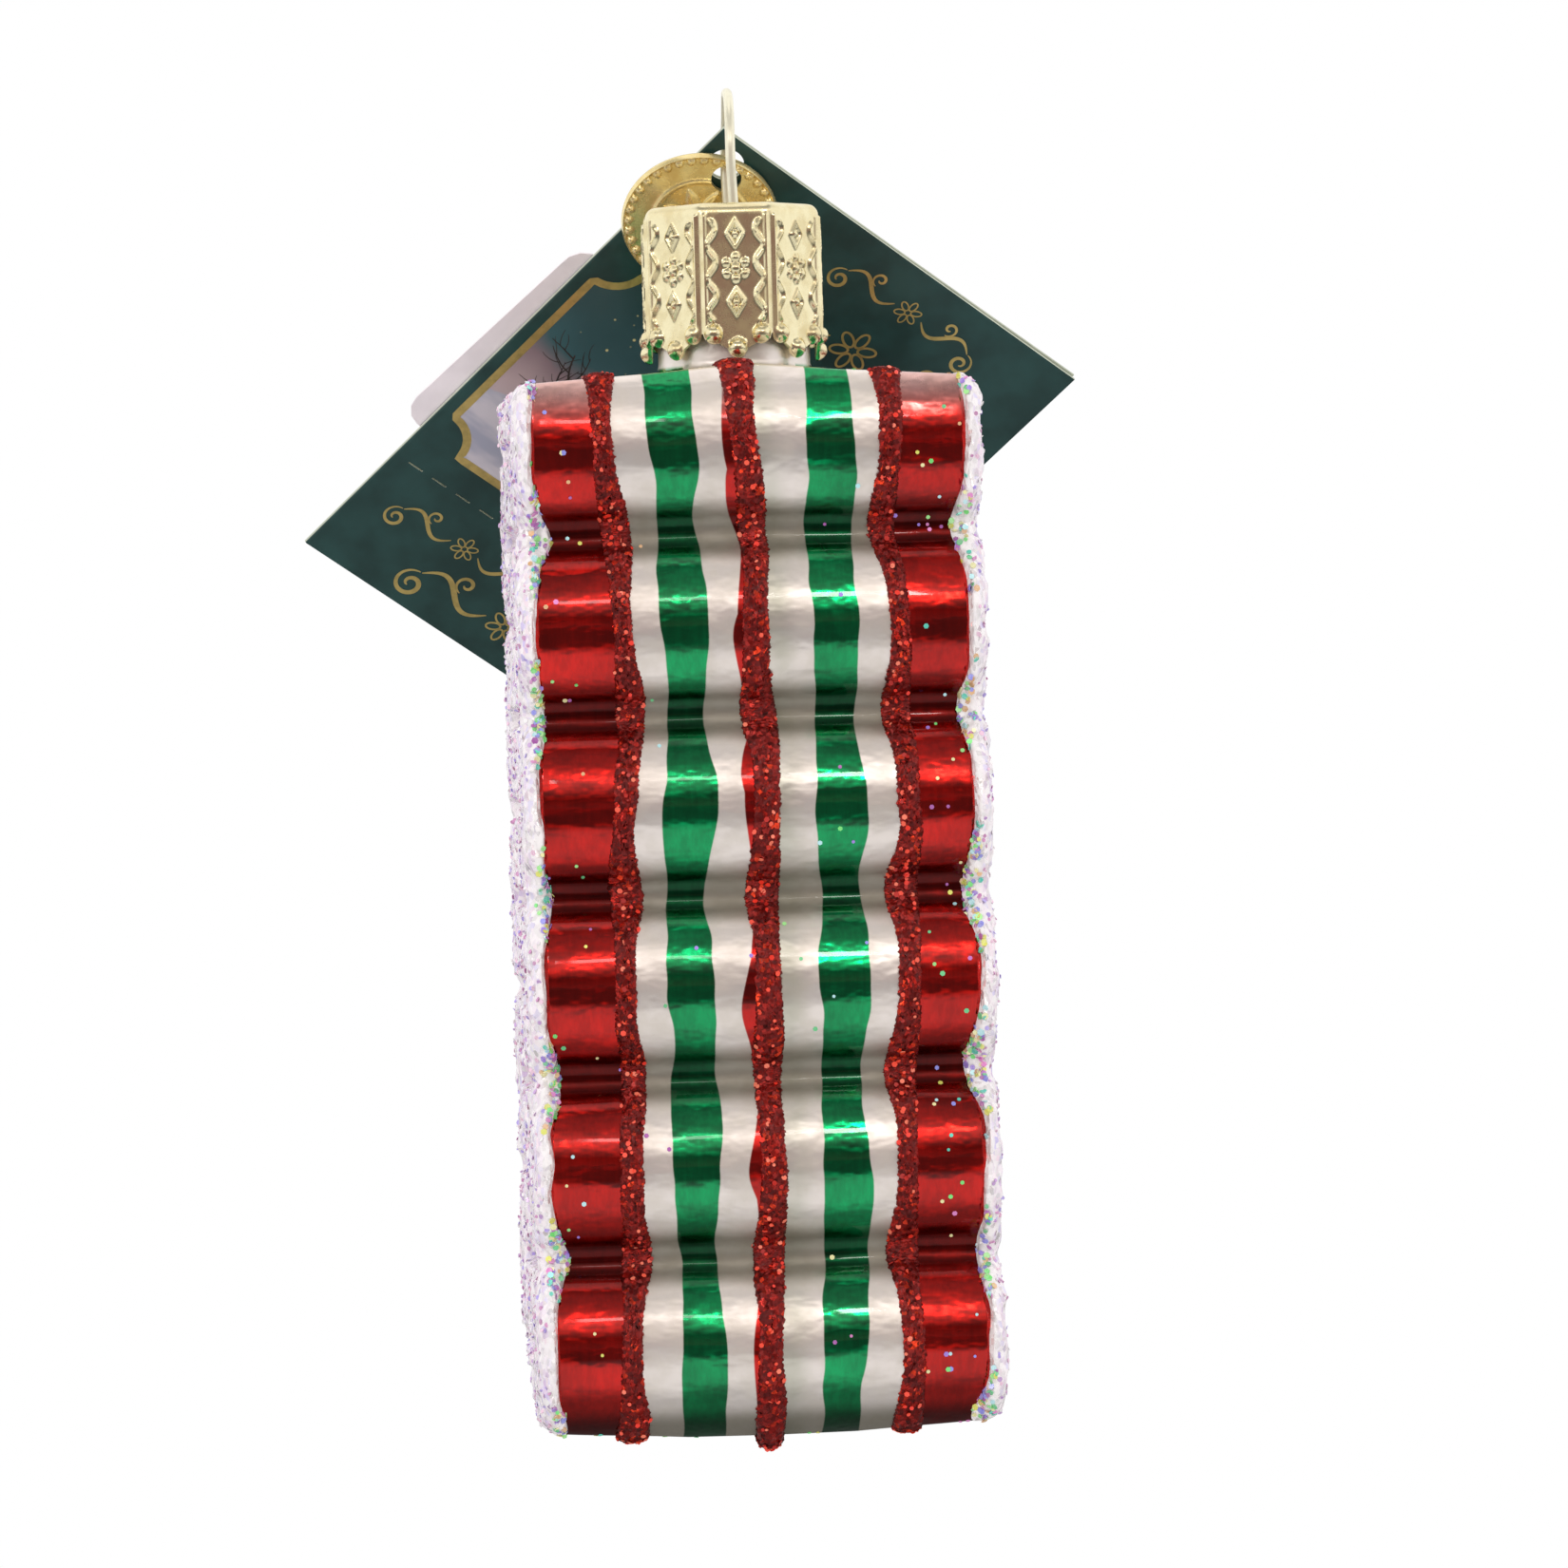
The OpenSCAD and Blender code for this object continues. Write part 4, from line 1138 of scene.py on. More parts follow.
class ORNAMENT_OT_sugar_crusts(Operator):
    """Makes the white glitter crusts over the sides and their edges"""

    bl_idname = "ornament.sugar_crusts"
    bl_label = "White glitter crusts"

    def execute(self, context):
        g, s = context.scene.ornament_glass, context.scene.ornament_glitter
        ribbon = Ribbon(g)
        sugar = white_glitter_material(s)
        pinks = flake_material("pink_flakes", PINKS, 0.3, 0.25)
        film = flake_material("pastel_flakes", PASTELS, 0.3, 0.2)
        small, large = 0.7 * s.flake_radius, 0.95 * s.flake_radius
        for name, seed, side in (("left", 31, -1), ("right", 32, 1)):
            mesh = make_mesh("sugar_crust_%s_sugar" % name, *self.crust(ribbon, s, side, seed))
            add_piece(mesh, sugar, "ornament", ["sugar_crust_" + name])

            def on_side(points, normals, side=side):
                outer = side * points[:, 0] > ribbon.half_width - g.layer_depth
                return (side * normals[:, 0] > 0.3) & outer

            def on_edge(points, normals, side=side):
                y, z = points[:, 1], points[:, 2]
                deep = ribbon.valley_depth(y, z) + 0.45 * ribbon.uneven(points, 1.1 * MM)
                outward = y * normals[:, 1] > 0.3 * np.abs(y)
                return (side * normals[:, 0] < 0.3) & outward & (deep > 0.4)

            scatter(
                "sugar_flakes_" + name, mesh, on_side, s.side_flakes, small, 0.4,
                pinks, seed,
            )
            scatter(
                "edge_flakes_" + name, mesh, on_edge, s.edge_flakes, large, 0.35,
                film, seed + 10,
            )
        return {"FINISHED"}

    @staticmethod
    def crust(ribbon, s, side, seed):
        """Points and faces of one crust: a lumpy layer over the ribbon's edge, its gaps and its faces."""
        g, step, lumps = ribbon.g, s.crust_step, Noise(seed)
        low = np.array([s.crust_border - 3 * MM, GLASS_LOW.y - 1.5 * MM, GLASS_LOW.z - 1.5 * MM])
        high = np.array([ribbon.half_width + 1.9 * MM, GLASS_HIGH.y + 1.5 * MM, g.upper_end + 2.2 * MM])
        size = np.ceil((high - low) / step).astype(int) + 1
        axes = [low[k] + step * np.arange(size[k]) for k in range(3)]
        x, y, z = np.meshgrid(*axes, indexing="ij")
        places = np.stack([side * x, y, z], -1)

        face, rim = ribbon.distance(x, y, z), g.side_round + g.side_rim
        gaps = 1 - step_up(ribbon.gap_distance(y[0], z[0]), -0.5 * MM, 0.3 * MM)
        furrows = s.gap_share * gaps * step_up(-face[-1], 0, 0.8 * MM)
        gaps = gaps * step_up(-face[-1], rim, rim + 1.0 * MM)
        beyond = x + g.layer_depth * gaps[None] - ribbon.half_width
        glass = rounded_edge(face, beyond, g.side_round)

        coarse, fine = lumps(places, 1.5 * MM), lumps(places, 0.5 * MM)
        out = step_up(beyond, -1.2 * MM, 0)
        thick = (s.crust_edge + (s.crust_height - s.crust_edge) * out) * (1 - furrows[None])
        ends = np.maximum(z - ribbon.top(x), ribbon.bottom(x) - z)
        worn = 1 - 0.75 * step_up(ends, -0.8 * MM, 0.1 * MM)
        thick = thick * (1 + 0.3 * coarse) * worn + 0.13 * MM * fine
        thick = np.maximum(thick, 0.16 * MM * out)

        waves = 0.9 * MM + 0.8 * MM * lumps(places * [0, 0.3, 1], 9 * MM)
        swell = ribbon.valley_depth(y, z) ** 2 * waves
        border = s.crust_border - swell - 0.4 * MM * lumps(places, 2.6 * MM)
        on_face = step_up(x - border, -0.15 * MM, 0.5 * MM)
        cover = np.maximum(on_face, step_up(beyond, -0.35 * MM, -0.02 * MM))
        sink = 0.3 * MM
        field = np.maximum(glass - (thick + 1.2 * sink) * cover + 1.2 * sink, -sink - glass)
        points, quads = surface_net(field, low, step)
        return points * [side, 1, 1], quads


class ORNAMENT_OT_stray_flakes(Operator):
    """Makes the single flakes that stuck to the painted glass"""

    bl_idname = "ornament.stray_flakes"
    bl_label = "Stray flakes"

    def execute(self, context):
        g, s = context.scene.ornament_glass, context.scene.ornament_glitter
        rng = np.random.default_rng(57)
        ribbon = Ribbon(g)
        spread = rng.uniform(-16.5, 16.5, s.stray_flakes)
        sides = rng.choice([-1, 1], s.stray_edge_flakes) * rng.uniform(13.4, 17, s.stray_edge_flakes)
        points, normals = [], []
        for x in MM * np.concatenate([spread, sides]):
            _, out = ribbon.loop(x, g.end_round)
            spot = rng.integers(len(out))
            points.append(ribbon.skin(x)[spot])
            normals.append((0, *out[spot]))
        size, lift = 0.68 * s.flake_radius, 0.02 * MM
        plates = flakes(np.array(points), np.array(normals), size, lift, 0.07, rng)
        film = flake_material("stray_flakes", PASTELS, 0.3, 0.3, 0.05)
        mesh = make_mesh("stray_flakes", *plates)
        add_piece(mesh, film, "ornament", sharp=radians(30))
        return {"FINISHED"}


# Metal


def metal_material(name, bright, dull, base_rough=0.0, metal=1.0):
    """Bright thin metal with clouded polish."""
    t = Tree.material(name, Metallic=metal)
    place = t.object_place()[0]
    wear = t.use(metal_wear_group(), Place=place, Bright=rgba(bright), Dull=rgba(dull))
    return t.finish(
        Base_Color=wear["Color"],
        Roughness=t.plus(wear["Roughness"], base_rough),
        Normal=t.bump(wear["Height"], 0.02 * MM, 0.35),
    )


def dome(distance, radius):
    """Height of a round bead over its foot, as a share of its radius."""
    return np.sqrt(np.maximum(0, 1 - (distance / radius) ** 2))


def line_relief(distance, half_width):
    """Height of a soft raised line."""
    return np.exp(-((distance / half_width) ** 2))


def panel_half(m):
    """Half the width of one of the cap's eight panels."""
    return m.cap_across / 2 * tan(pi / 8)


def foot_beads(m):
    """Places of a panel's beads: across from its middle, and down from the cap's top."""
    return (0.0, m.cap_height + m.cap_bead), (m.cap_bead_spread, m.cap_height - m.cap_bead / 2)


def panel_relief(m, u, v):
    """Height of the stamped ornament at u from the panel's middle and v below the cap's top."""
    shade = 0.75 * line_relief(np.abs(u) - (panel_half(m) - 0.42 * MM), 0.17 * MM)
    wave_top, wave_end, period, swing = 1.5 * MM, 9.6 * MM, 2.7 * MM, 0.34 * MM
    bend = 2 * pi * (v - wave_top) / period
    slope = np.sqrt(1 + (swing * 2 * pi / period * np.cos(bend)) ** 2)
    wave = (np.abs(u) - m.cap_bead_spread + swing * np.sin(bend)) / slope
    inside = step_up(v, wave_top - 0.2 * MM, wave_top + 0.1 * MM)
    inside = inside * step_up(-v, -wave_end - 0.2 * MM, -wave_end + 0.1 * MM)
    shade = np.maximum(shade, line_relief(wave, 0.15 * MM) * inside)
    for middle in (2.6 * MM, 8.1 * MM):
        slant = (np.abs(u) / 0.6 + np.abs(v - middle) / 0.95 - 1 * MM) * 0.52
        shade = np.maximum(shade, line_relief(slant, 0.14 * MM))
        shade = np.maximum(shade, 0.9 * dome(np.hypot(u, v - middle), 0.28 * MM))
    petals, bloom, spread = 6, 5.35 * MM, 0.85 * MM
    shade = np.maximum(shade, dome(np.hypot(u, v - bloom), 0.42 * MM))
    for turn in 2 * pi * np.arange(petals) / petals:
        away = np.hypot(u - spread * sin(turn), v - bloom - spread * cos(turn))
        shade = np.maximum(shade, 0.85 * dome(away, 0.36 * MM))
    height = m.emboss * shade
    for across, down in foot_beads(m):
        away = np.hypot(np.abs(u) - across, v - down)
        height = np.maximum(height, m.cap_bead * dome(away, m.cap_bead) - 0.15 * MM)
    return np.maximum(height, 0)


def panel_foot(m, u):
    """Lower edge of a panel: a point with scallops round its three beads."""
    slope = np.clip((np.abs(u) - m.cap_bead) / (panel_half(m) - m.cap_bead), 0, 1)
    edge = m.cap_height + m.cap_point * (1 - slope) - 0.45 * MM
    reach = 1.06 * m.cap_bead
    for across, down in foot_beads(m):
        away = np.clip((np.abs(u) - across) / reach, -1, 1)
        edge = np.maximum(edge, np.where(np.abs(away) < 1, down + reach * np.sqrt(1 - away**2), 0))
    return edge


def cap_mesh(m):
    """Stamped cap: a plate with a rounded shoulder, relief panels with pointed feet, an inner wall."""
    panels, sharpness = 8, 46
    columns = panels * 52
    turn, way = np.arange(columns) * 2 * pi / columns, circle(columns)
    middles = np.arange(panels) * 2 * pi / panels - pi / 2
    share = np.maximum(np.cos(turn[:, None] - middles[None]), 0) ** sharpness
    radius = m.cap_across / 2 / share.sum(1) ** (1 / sharpness)
    u = radius * np.sin(turn - middles[np.argmax(share, 1)])
    out = (share[:, :, None] * np.stack([np.cos(middles), np.sin(middles)], -1)[None]).sum(1)
    out /= np.linalg.norm(out, axis=1, keepdims=True)
    foot = panel_foot(m, u)
    bend, wall, dish = m.cap_shoulder, m.cap_wall, 0.12 * MM
    inner = bend - wall
    rings = []

    def ring(size, z, push=0.0):
        spread = size[:, None] * way + np.reshape(push * np.ones(columns), (-1, 1)) * out
        rings.append(np.c_[spread, z * np.ones(columns)])

    for part in (0.02, 0.2, 0.4, 0.55, 0.7, 0.85, 0.95):
        ring((radius - bend) * part, -dish * step_up(part, 0.9, 0.4))
    for a in np.linspace(0, pi / 2, 10):
        ring(radius - bend * (1 - sin(a)), -bend * (1 - cos(a)))
    for part in np.linspace(0, 1, 72)[1:]:
        down = bend + part * (foot - bend)
        ring(radius, -down, panel_relief(m, u, down))
    ring(radius - wall / 2, -foot - 0.06 * MM, panel_relief(m, u, foot) / 2)
    for part in (1, 0.9, 0.7, 0.5, 0.25, 0):
        ring(radius - wall, -(bend + part * (foot - bend)))
    for a in np.linspace(pi / 2, 0, 6)[1:]:
        ring(radius - wall - inner * (1 - sin(a)), -wall - inner * (1 - cos(a)))
    for part in (0.85, 0.7, 0.55, 0.3, 0.02):
        ring((radius - bend) * part, -wall - dish)
    hole = m.wire_radius + m.wire_gap
    drills = [drill(hole, -3 * MM, 1 * MM, (0, side * m.strand), 24) for side in (-1, 1)]
    return cut_away(ring_mesh("cap_crown_stamped", rings), drills)


class ORNAMENT_OT_cap_crown(Operator):
    """Makes the stamped gold cap"""

    bl_idname = "ornament.cap_crown"
    bl_label = "Cap"

    def execute(self, context):
        m = context.scene.ornament_metal
        place = Matrix.Rotation(HANGER_TURN, 4, "Z")
        place.translation = (0, 0, CAP_HIGH.z)
        gold = metal_material("cap_gold", m.cap_gold, dimmed(m.cap_gold, 0.92, 0.87, 0.78), 0.05)
        add_piece(cap_mesh(m), gold, "hanger", ["cap_crown"], place, radians(45))
        return {"FINISHED"}


def tube(path, radii, sides, binormal):
    """Rings of a round tube along a flat path."""
    ahead = np.gradient(path, axis=0)
    ahead /= np.linalg.norm(ahead, axis=1, keepdims=True)
    first, second = circle(sides).T[:, None, :, None]
    rings = first * np.cross(ahead, binormal)[:, None] + second * np.asarray(binormal)
    return path[:, None] + radii[:, None, None] * rings


class ORNAMENT_OT_hanger_wire(Operator):
    """Makes the bent wire: the loop and its two legs"""

    bl_idname = "ornament.hanger_wire"
    bl_label = "Hanger wire"

    def execute(self, context):
        m = context.scene.ornament_metal
        arch = WIRE_HIGH.z - m.wire_radius - m.strand
        leg = np.linspace(WIRE_LOW.z + m.wire_radius, arch, 40)[:-1]
        turn, straight = np.linspace(0, pi, 49), np.full(len(leg), m.strand)
        y = np.concatenate([straight, m.strand * np.cos(turn), -straight])
        z = np.concatenate([leg, arch + m.strand * np.sin(turn), leg[::-1]])
        sway = 0.09 * MM * Noise(71)(np.c_[y, z, y], 5 * MM)
        path = np.c_[sway, y + 0.5 * sway, z]
        tip = np.linspace(0.05, pi / 2, 6)
        ends, below = m.wire_radius * np.sin(tip), np.outer(m.wire_radius * np.cos(tip), (0, 0, 1))
        radii = np.concatenate([ends, np.full(len(path), m.wire_radius), ends[::-1]])
        path = np.concatenate([path[0] - below, path, (path[-1] - below)[::-1]])
        mesh = ring_mesh("hanger_wire_bent", tube(path, radii, 20, (1.0, 0, 0)))
        place = Matrix.Rotation(HANGER_TURN, 4, "Z")
        gold = metal_material("wire_champagne", m.wire_gold, dimmed(m.wire_gold, 0.86), 0.14, 0.6)
        add_piece(mesh, gold, "hanger", ["hanger_wire"], place)
        return {"FINISHED"}


def strand_place(joint):
    """Frame of a piece on the far strand: its hole at the origin, Y up the slope, Z to the front."""
    out = Vector(JOINTS[joint]["axis"]).normalized()
    right = Vector((-out.y, out.x, 0)).normalized()
    place = Matrix((right, out.cross(right), out)).transposed().to_4x4()
    place.translation = JOINTS[joint]["pos_m"]
    return place


def charm_relief(m, radius, turn):
    """Height of the charm's face over its sheet: beaded rim, two rings and a petal star."""
    rim, step = m.charm_radius - 0.55 * MM, 2 * pi / m.charm_beads
    off = (turn / step) % 1 - 0.5
    height = m.charm_bead * dome(np.hypot(radius - rim, off * step * rim), m.charm_bead)
    for ring, tall, half in ((m.charm_radius - 0.14 * MM, 0.26, 0.14), (3.9 * MM, 0.2, 0.2)):
        height = np.maximum(height, tall * MM * line_relief(radius - ring, half * MM))
    petals, long = 8, 3.3 * MM
    aside = np.abs(((turn * petals / (2 * pi)) + 0.5) % 1 - 0.5) * 2 * pi / petals
    half = 0.62 * MM * np.sin(pi * np.clip(radius / long, 0, 1)) ** 0.8 + 1e-6
    petal = dome(radius * np.sin(aside), half)
    rib = 0.06 * MM * line_relief(radius * np.sin(aside), 0.09 * MM)
    height = np.maximum(height, np.where(radius < long, 0.2 * MM * petal + rib * (petal > 0), 0))
    return np.maximum(height, 0.3 * MM * dome(radius, 0.75 * MM))


class ORNAMENT_OT_charm(Operator):
    """Makes the round gold charm"""

    bl_idname = "ornament.charm"
    bl_label = "Charm"

    def execute(self, context):
        m = context.scene.ornament_metal
        columns = m.charm_beads * 9
        turn, way = np.arange(columns) * 2 * pi / columns, circle(columns)
        half, edge, axis = m.charm_sheet / 2, 0.12 * MM, 0.06 * MM
        rings = []
        for radius in np.linspace(axis, m.charm_radius - edge, 66):
            rings.append(np.c_[radius * way, half + charm_relief(m, np.full(columns, radius), turn)])
        lip = rings[-1][:, 2:]
        rings.append(np.c_[m.charm_radius * way, 0.4 * lip - 0.6 * edge])
        rings.append(np.c_[m.charm_radius * way, np.full(columns, -half + edge)])
        for radius in (m.charm_radius - edge, 0.8 * m.charm_radius, 0.5 * m.charm_radius, axis):
            rings.append(np.c_[radius * way, np.full(columns, -half)])
        hole = drill(m.charm_hole, -2 * MM, 2 * MM, (0, m.charm_reach))
        mesh = cut_away(ring_mesh("charm_medallion_struck", rings), [hole])
        place = strand_place("charm_swing") @ Matrix.Rotation(-m.charm_swing, 4, "Z")
        place = place @ Matrix.Translation((0, -m.charm_reach, 0))
        dull = dimmed(m.charm_gold, 0.86, 0.78, 0.64)
        gold = metal_material("charm_gold", m.charm_gold, dull, 0.06, 0.74)
        add_piece(mesh, gold, "charm", ["charm_medallion"], place, radians(50))
        return {"FINISHED"}


# Paper


# Radius of the scooped corners of the card's picture
NOTCH = 3 * MM


def picture_edges(p):
    """Right, left, upper and lower edge of the framed picture on the card."""
    return p.card_width - 3 * MM, 1.5 * MM, 15 * MM, 39 * MM


def evening(t, place, u, v, over, under):
    """Colours of the card's picture: a starry evening sky over snow."""
    height = t.smooth(v, over, under)
    clouds = t.times(t.minus(t.noise(place, 0.13, 3.0), 0.5), 0.35)
    sky = t.ramp(
        t.plus(height, clouds),
        [
            (0.0, (0.03, 0.075, 0.08)),
            (0.34, (0.05, 0.13, 0.145)),
            (0.5, (0.28, 0.2, 0.22)),
            (0.75, (0.5, 0.37, 0.38)),
            (1.0, (0.56, 0.48, 0.5)),
        ],
    )
    stars = t.cells(t.join(u, v, 0.0), 0.62)["Distance"]
    sky = t.mix(t.times(t.smooth(stars, 0.11, 0.06), t.smooth(height, 0.42, 0.3)), sky, (0.75, 0.66, 0.3))
    hills = t.times(t.noise(t.join(u, 0.0, 3.0), 0.11, 2.0), 7.0)
    snow = t.smooth(t.minus(v, t.plus(hills, (over + under) / 2 + 1.5)), -0.12, 0.12)
    drifts = t.noise(t.vector("MULTIPLY", place, (0.5, 1.6, 1.0)), 0.3, 3.0)
    ground = t.mix(t.smooth(drifts, 0.35, 0.65), (0.6, 0.55, 0.6), (0.36, 0.36, 0.45))
    return t.mix(snow, sky, ground)


def card_material(p):
    """Dark green satin print with a framed winter evening, on pale card."""
    t = Tree.material("tag_card", Specular_IOR_Level=0.4)
    place, u, y, w = t.object_place()
    v = t.times(y, -1.0)
    facing = t.node("SeparateXYZ", t.node("TexCoord").outputs["Normal"]).outputs[2]
    front = t.times(t.smooth(facing, 0.45, 0.55), t.smooth(w, 0.1, 0.2))
    back = t.times(t.smooth(facing, -0.45, -0.55), t.smooth(w, -0.02, -0.1))
    printed = t.most(front, back)
    dark = rgba(dimmed(p.card_green, 0.62))
    paper = t.use(paper_group(), Place=place, Light=rgba(p.card_green), Dark=dark)
    bare = t.use(paper_group(), Place=place, Light=(0.62, 0.64, 0.52, 1), Dark=(0.5, 0.53, 0.42, 1))

    right, left, over, under = (edge / MM for edge in picture_edges(p))
    off_u = t.minus(t.math("ABSOLUTE", t.minus(u, (left + right) / 2)), (right - left) / 2)
    off_v = t.minus(t.math("ABSOLUTE", t.minus(v, (over + under) / 2)), (under - over) / 2)
    notch = t.minus(NOTCH / MM, t.hypot(off_u, off_v))
    inside = t.times(t.smooth(t.most(off_u, off_v, notch), 0.05, -0.05), front)
    print_colour = t.mix(inside, paper["Color"], evening(t, place, u, v, over, under))
    return t.finish(
        Base_Color=t.mix(printed, bare["Color"], print_colour),
        Roughness=t.plus(paper["Roughness"], t.blend(printed, 0.2, -0.1)),
        Normal=t.bump(paper["Height"], 0.01 * MM, 0.3),
    )


def label_material(p):
    """Pale pink paper."""
    t = Tree.material("label_paper", Specular_IOR_Level=0.3)
    place, dark = t.object_place()[0], rgba(dimmed(p.label_pink, 0.9))
    paper = t.use(paper_group(), Place=place, Light=rgba(p.label_pink), Dark=dark)
    return t.finish(
        Base_Color=paper["Color"],
        Roughness=t.plus(paper["Roughness"], 0.2),
        Normal=t.bump(paper["Height"], 0.01 * MM, 0.4),
    )


def notched_frame(p):
    """A closed line round the picture whose corners are scooped out."""
    right, left, over, under = picture_edges(p)
    corners = ((right, over, pi), (right, under, -pi / 2), (left, under, 0), (left, over, pi / 2))
    points = []
    for u, v, first in corners:
        for turn in np.linspace(first, first - pi / 2, 15):
            points.append((u + NOTCH * cos(turn), v + NOTCH * sin(turn)))
    return resample(np.array(points), 0.5 * MM, True)


def resample(points, step, closed):
    """The same line with points at about equal steps."""
    if closed:
        points = np.concatenate([points, points[:1]])
    run = np.concatenate([[0], np.cumsum(np.linalg.norm(np.diff(points, axis=0), axis=1))])
    count = max(8, ceil(run[-1] / step))
    at = np.linspace(0, run[-1], count, endpoint=not closed)
    return np.stack([np.interp(at, run, points[:, k]) for k in range(2)], -1)


def print_lines(name, curves, base, thickness):
    """Thin raised lines on the card's front: each curve has points, half widths and whether it closes."""
    verts, quads, ends, start = [], [], [], 0
    low, high = base - 0.02 * MM, base + thickness
    for points, half, closed in curves:
        count = len(points)
        ahead = np.roll(points, -1, 0) - np.roll(points, 1, 0) if closed else np.gradient(points, axis=0)
        ahead /= np.linalg.norm(ahead, axis=1, keepdims=True) + 1e-12
        aside = np.stack([-ahead[:, 1], ahead[:, 0]], -1) * np.reshape(half * np.ones(count), (-1, 1))
        section = []
        for side, z in ((-1, low), (1, low), (1, high), (-1, high)):
            line = points + side * aside
            section.append(np.c_[line[:, 0], -line[:, 1], np.full(count, z)])
        verts.append(np.stack(section, 1).reshape(-1, 3))
        quads.append(grid_faces(count, 4, wrap_rows=closed, wrap_columns=True, start=start))
        if not closed:
            ends.append(end_faces(count, 4, start))
        start += 4 * count
    return make_mesh(name, np.concatenate(verts), np.concatenate(quads), np.array(ends).reshape(-1, 4))


def swelling(count, thin, thick):
    """Half widths of a pen stroke that swells in its middle."""
    return thin + (thick - thin) * np.sin(pi * np.linspace(0, 1, count)) ** 0.8


def spin(turn):
    """A matrix that turns rows of flat points by an angle."""
    return np.array(((cos(turn), sin(turn)), (-sin(turn), cos(turn))))


def curl(middle, size, shrink, first, sweep, count):
    """A spiral that winds inwards round a middle."""
    share = np.linspace(0, 1, count)
    turn, radius = first + sweep * share, size * (1 - shrink * share)
    return np.stack([middle[0] + radius * np.cos(turn), middle[1] + radius * np.sin(turn)], -1)


def flourish(middle, size):
    """A symmetric scroll ornament: a small flower between two long scrolls with curled ends."""
    share = np.linspace(0, 1, 60)
    stem = np.stack([2.4 + 8.4 * share, 1.25 * np.sin(2 * pi * share)], -1)
    scroll = curl((11.0, 1.75), 1.75, 0.82, -pi / 2, 2.9 * pi, 70)
    twig = curl((6.3, -1.6), 1.15, 0.8, pi / 2, -2.3 * pi, 60)
    curves = []
    for mirror in (-1, 1):
        for line, thick in ((stem, 0.3), (scroll, 0.26), (twig, 0.2)):
            points = np.array(middle) + size * MM * line * [mirror, 1]
            curves.append((points, size * MM * swelling(len(points), 0.06, thick), False))
    part = np.linspace(0, 2 * pi, 28, endpoint=False)
    petal = np.stack([1.15 - 0.75 * np.cos(part), 0.42 * np.sin(part)], -1)
    for i in range(6):
        points = np.array(middle) + size * MM * petal @ spin(i * pi / 3 + pi / 6)
        curves.append((points, size * 0.1 * MM, True))
    return curves


def bare_trees(p, rng):
    """Two printed bare trees: trunks and twigs as tapering strokes."""
    right, left, over, under = picture_edges(p)
    curves = []

    def branch(start, heading, length, thick, depth):
        count = 14
        bend = rng.normal(0, 0.5) * np.linspace(-0.5, 0.5, count)
        turn = heading + bend + rng.normal(0, 0.12, count).cumsum() * 0.35
        steps = length / count * np.stack([np.cos(turn), -np.sin(turn)], -1)
        points = np.concatenate([[start], start + np.cumsum(steps, 0)])
        curves.append((points, np.linspace(thick, 0.45 * thick, count + 1), False))
        if depth == 0:
            return
        for part in (0.45, 0.7, 0.95):
            veer = rng.choice([-1, 1]) * rng.uniform(0.4, 0.85)
            shorter = length * rng.uniform(0.5, 0.68)
            branch(points[int(part * count)], heading + veer, shorter, 0.55 * thick, depth - 1)

    def fits(points):
        u, v = points.T
        return ((u > left + 0.5 * MM) & (u < right - 1.6 * MM) & (v > over + 2 * MM)).all()

    for across, down, tall in ((7.0, 3.0, 8.0), (20.0, 2.5, 7.0)):
        branch(np.array((left + across * MM, under - down * MM)), pi / 2, tall * MM, 0.24 * MM, 3)
    return [curve for curve in curves if fits(curve[0])]


def ink_material(name, tint, metal, rough):
    """Printed ink or foil with a slightly uneven lay."""
    t = Tree.material(name, Metallic=metal)
    place = t.object_place()[0]
    lay = t.noise(place, 0.9, 4.0, 0.6)
    return t.finish(
        Base_Color=t.mix(t.smooth(lay, 0.35, 0.7), tint, dimmed(tint, 0.72)),
        Roughness=t.smooth(lay, 0.3, 0.7, rough, rough + 0.14),
    )


def card_half(p):
    """Half the thickness of the folded card."""
    return p.leaf + p.leaf_gap / 2


def back_lean(p, u):
    """How far the back leaf stands away behind its folded place."""
    half = card_half(p)
    return p.leaf_open * np.clip((u - half) / (p.card_width - half), 0, 1) ** 1.4


def card_mesh(p):
    """The folded card: one hairpin section drawn down the fold, with its hole and its tear line cut out."""
    half = card_half(p)
    flat = np.linspace(p.card_width, half, 60)
    turn = np.linspace(pi / 2, 3 * pi / 2, 13)[1:-1]
    sides = []
    for reach in (half, p.leaf_gap / 2):
        u = np.concatenate([flat, half + reach * np.cos(turn), flat[::-1]])
        behind = -reach - back_lean(p, flat[::-1])
        w = np.concatenate([np.full(len(flat), reach), reach * np.sin(turn), behind])
        sides.append(np.stack([u, w], -1))
    outer, inner = sides
    count = len(outer)
    ring = np.concatenate([outer, inner[::-1]])
    rows = np.linspace(0, p.card_height, 70)
    points = np.stack([np.c_[ring[:, 0], np.full(len(ring), -v), ring[:, 1]] for v in rows])
    i = np.arange(count - 1)
    across = np.stack([i, i + 1, 2 * count - 2 - i, 2 * count - 1 - i], -1)
    ends = np.concatenate([across[:, ::-1], across + (len(rows) - 1) * 2 * count])
    mesh = make_mesh("hang_tag_folded", points, grid_faces(len(rows), 2 * count, wrap_columns=True), ends)
    deep, slot, pitch, slot_half = 4 * MM, 1.5 * MM, 2.6 * MM, 0.07 * MM
    cutters = [drill(p.hole, -deep, deep, (p.hole_edge, -p.hole_edge))]
    start = slot
    while start + slot < p.card_width:
        low = (start, -p.perforation_drop - slot_half, -deep)
        cutters.append(box_cutter(low, (start + slot, -p.perforation_drop + slot_half, deep)))
        start += pitch
    return cut_away(mesh, cutters)


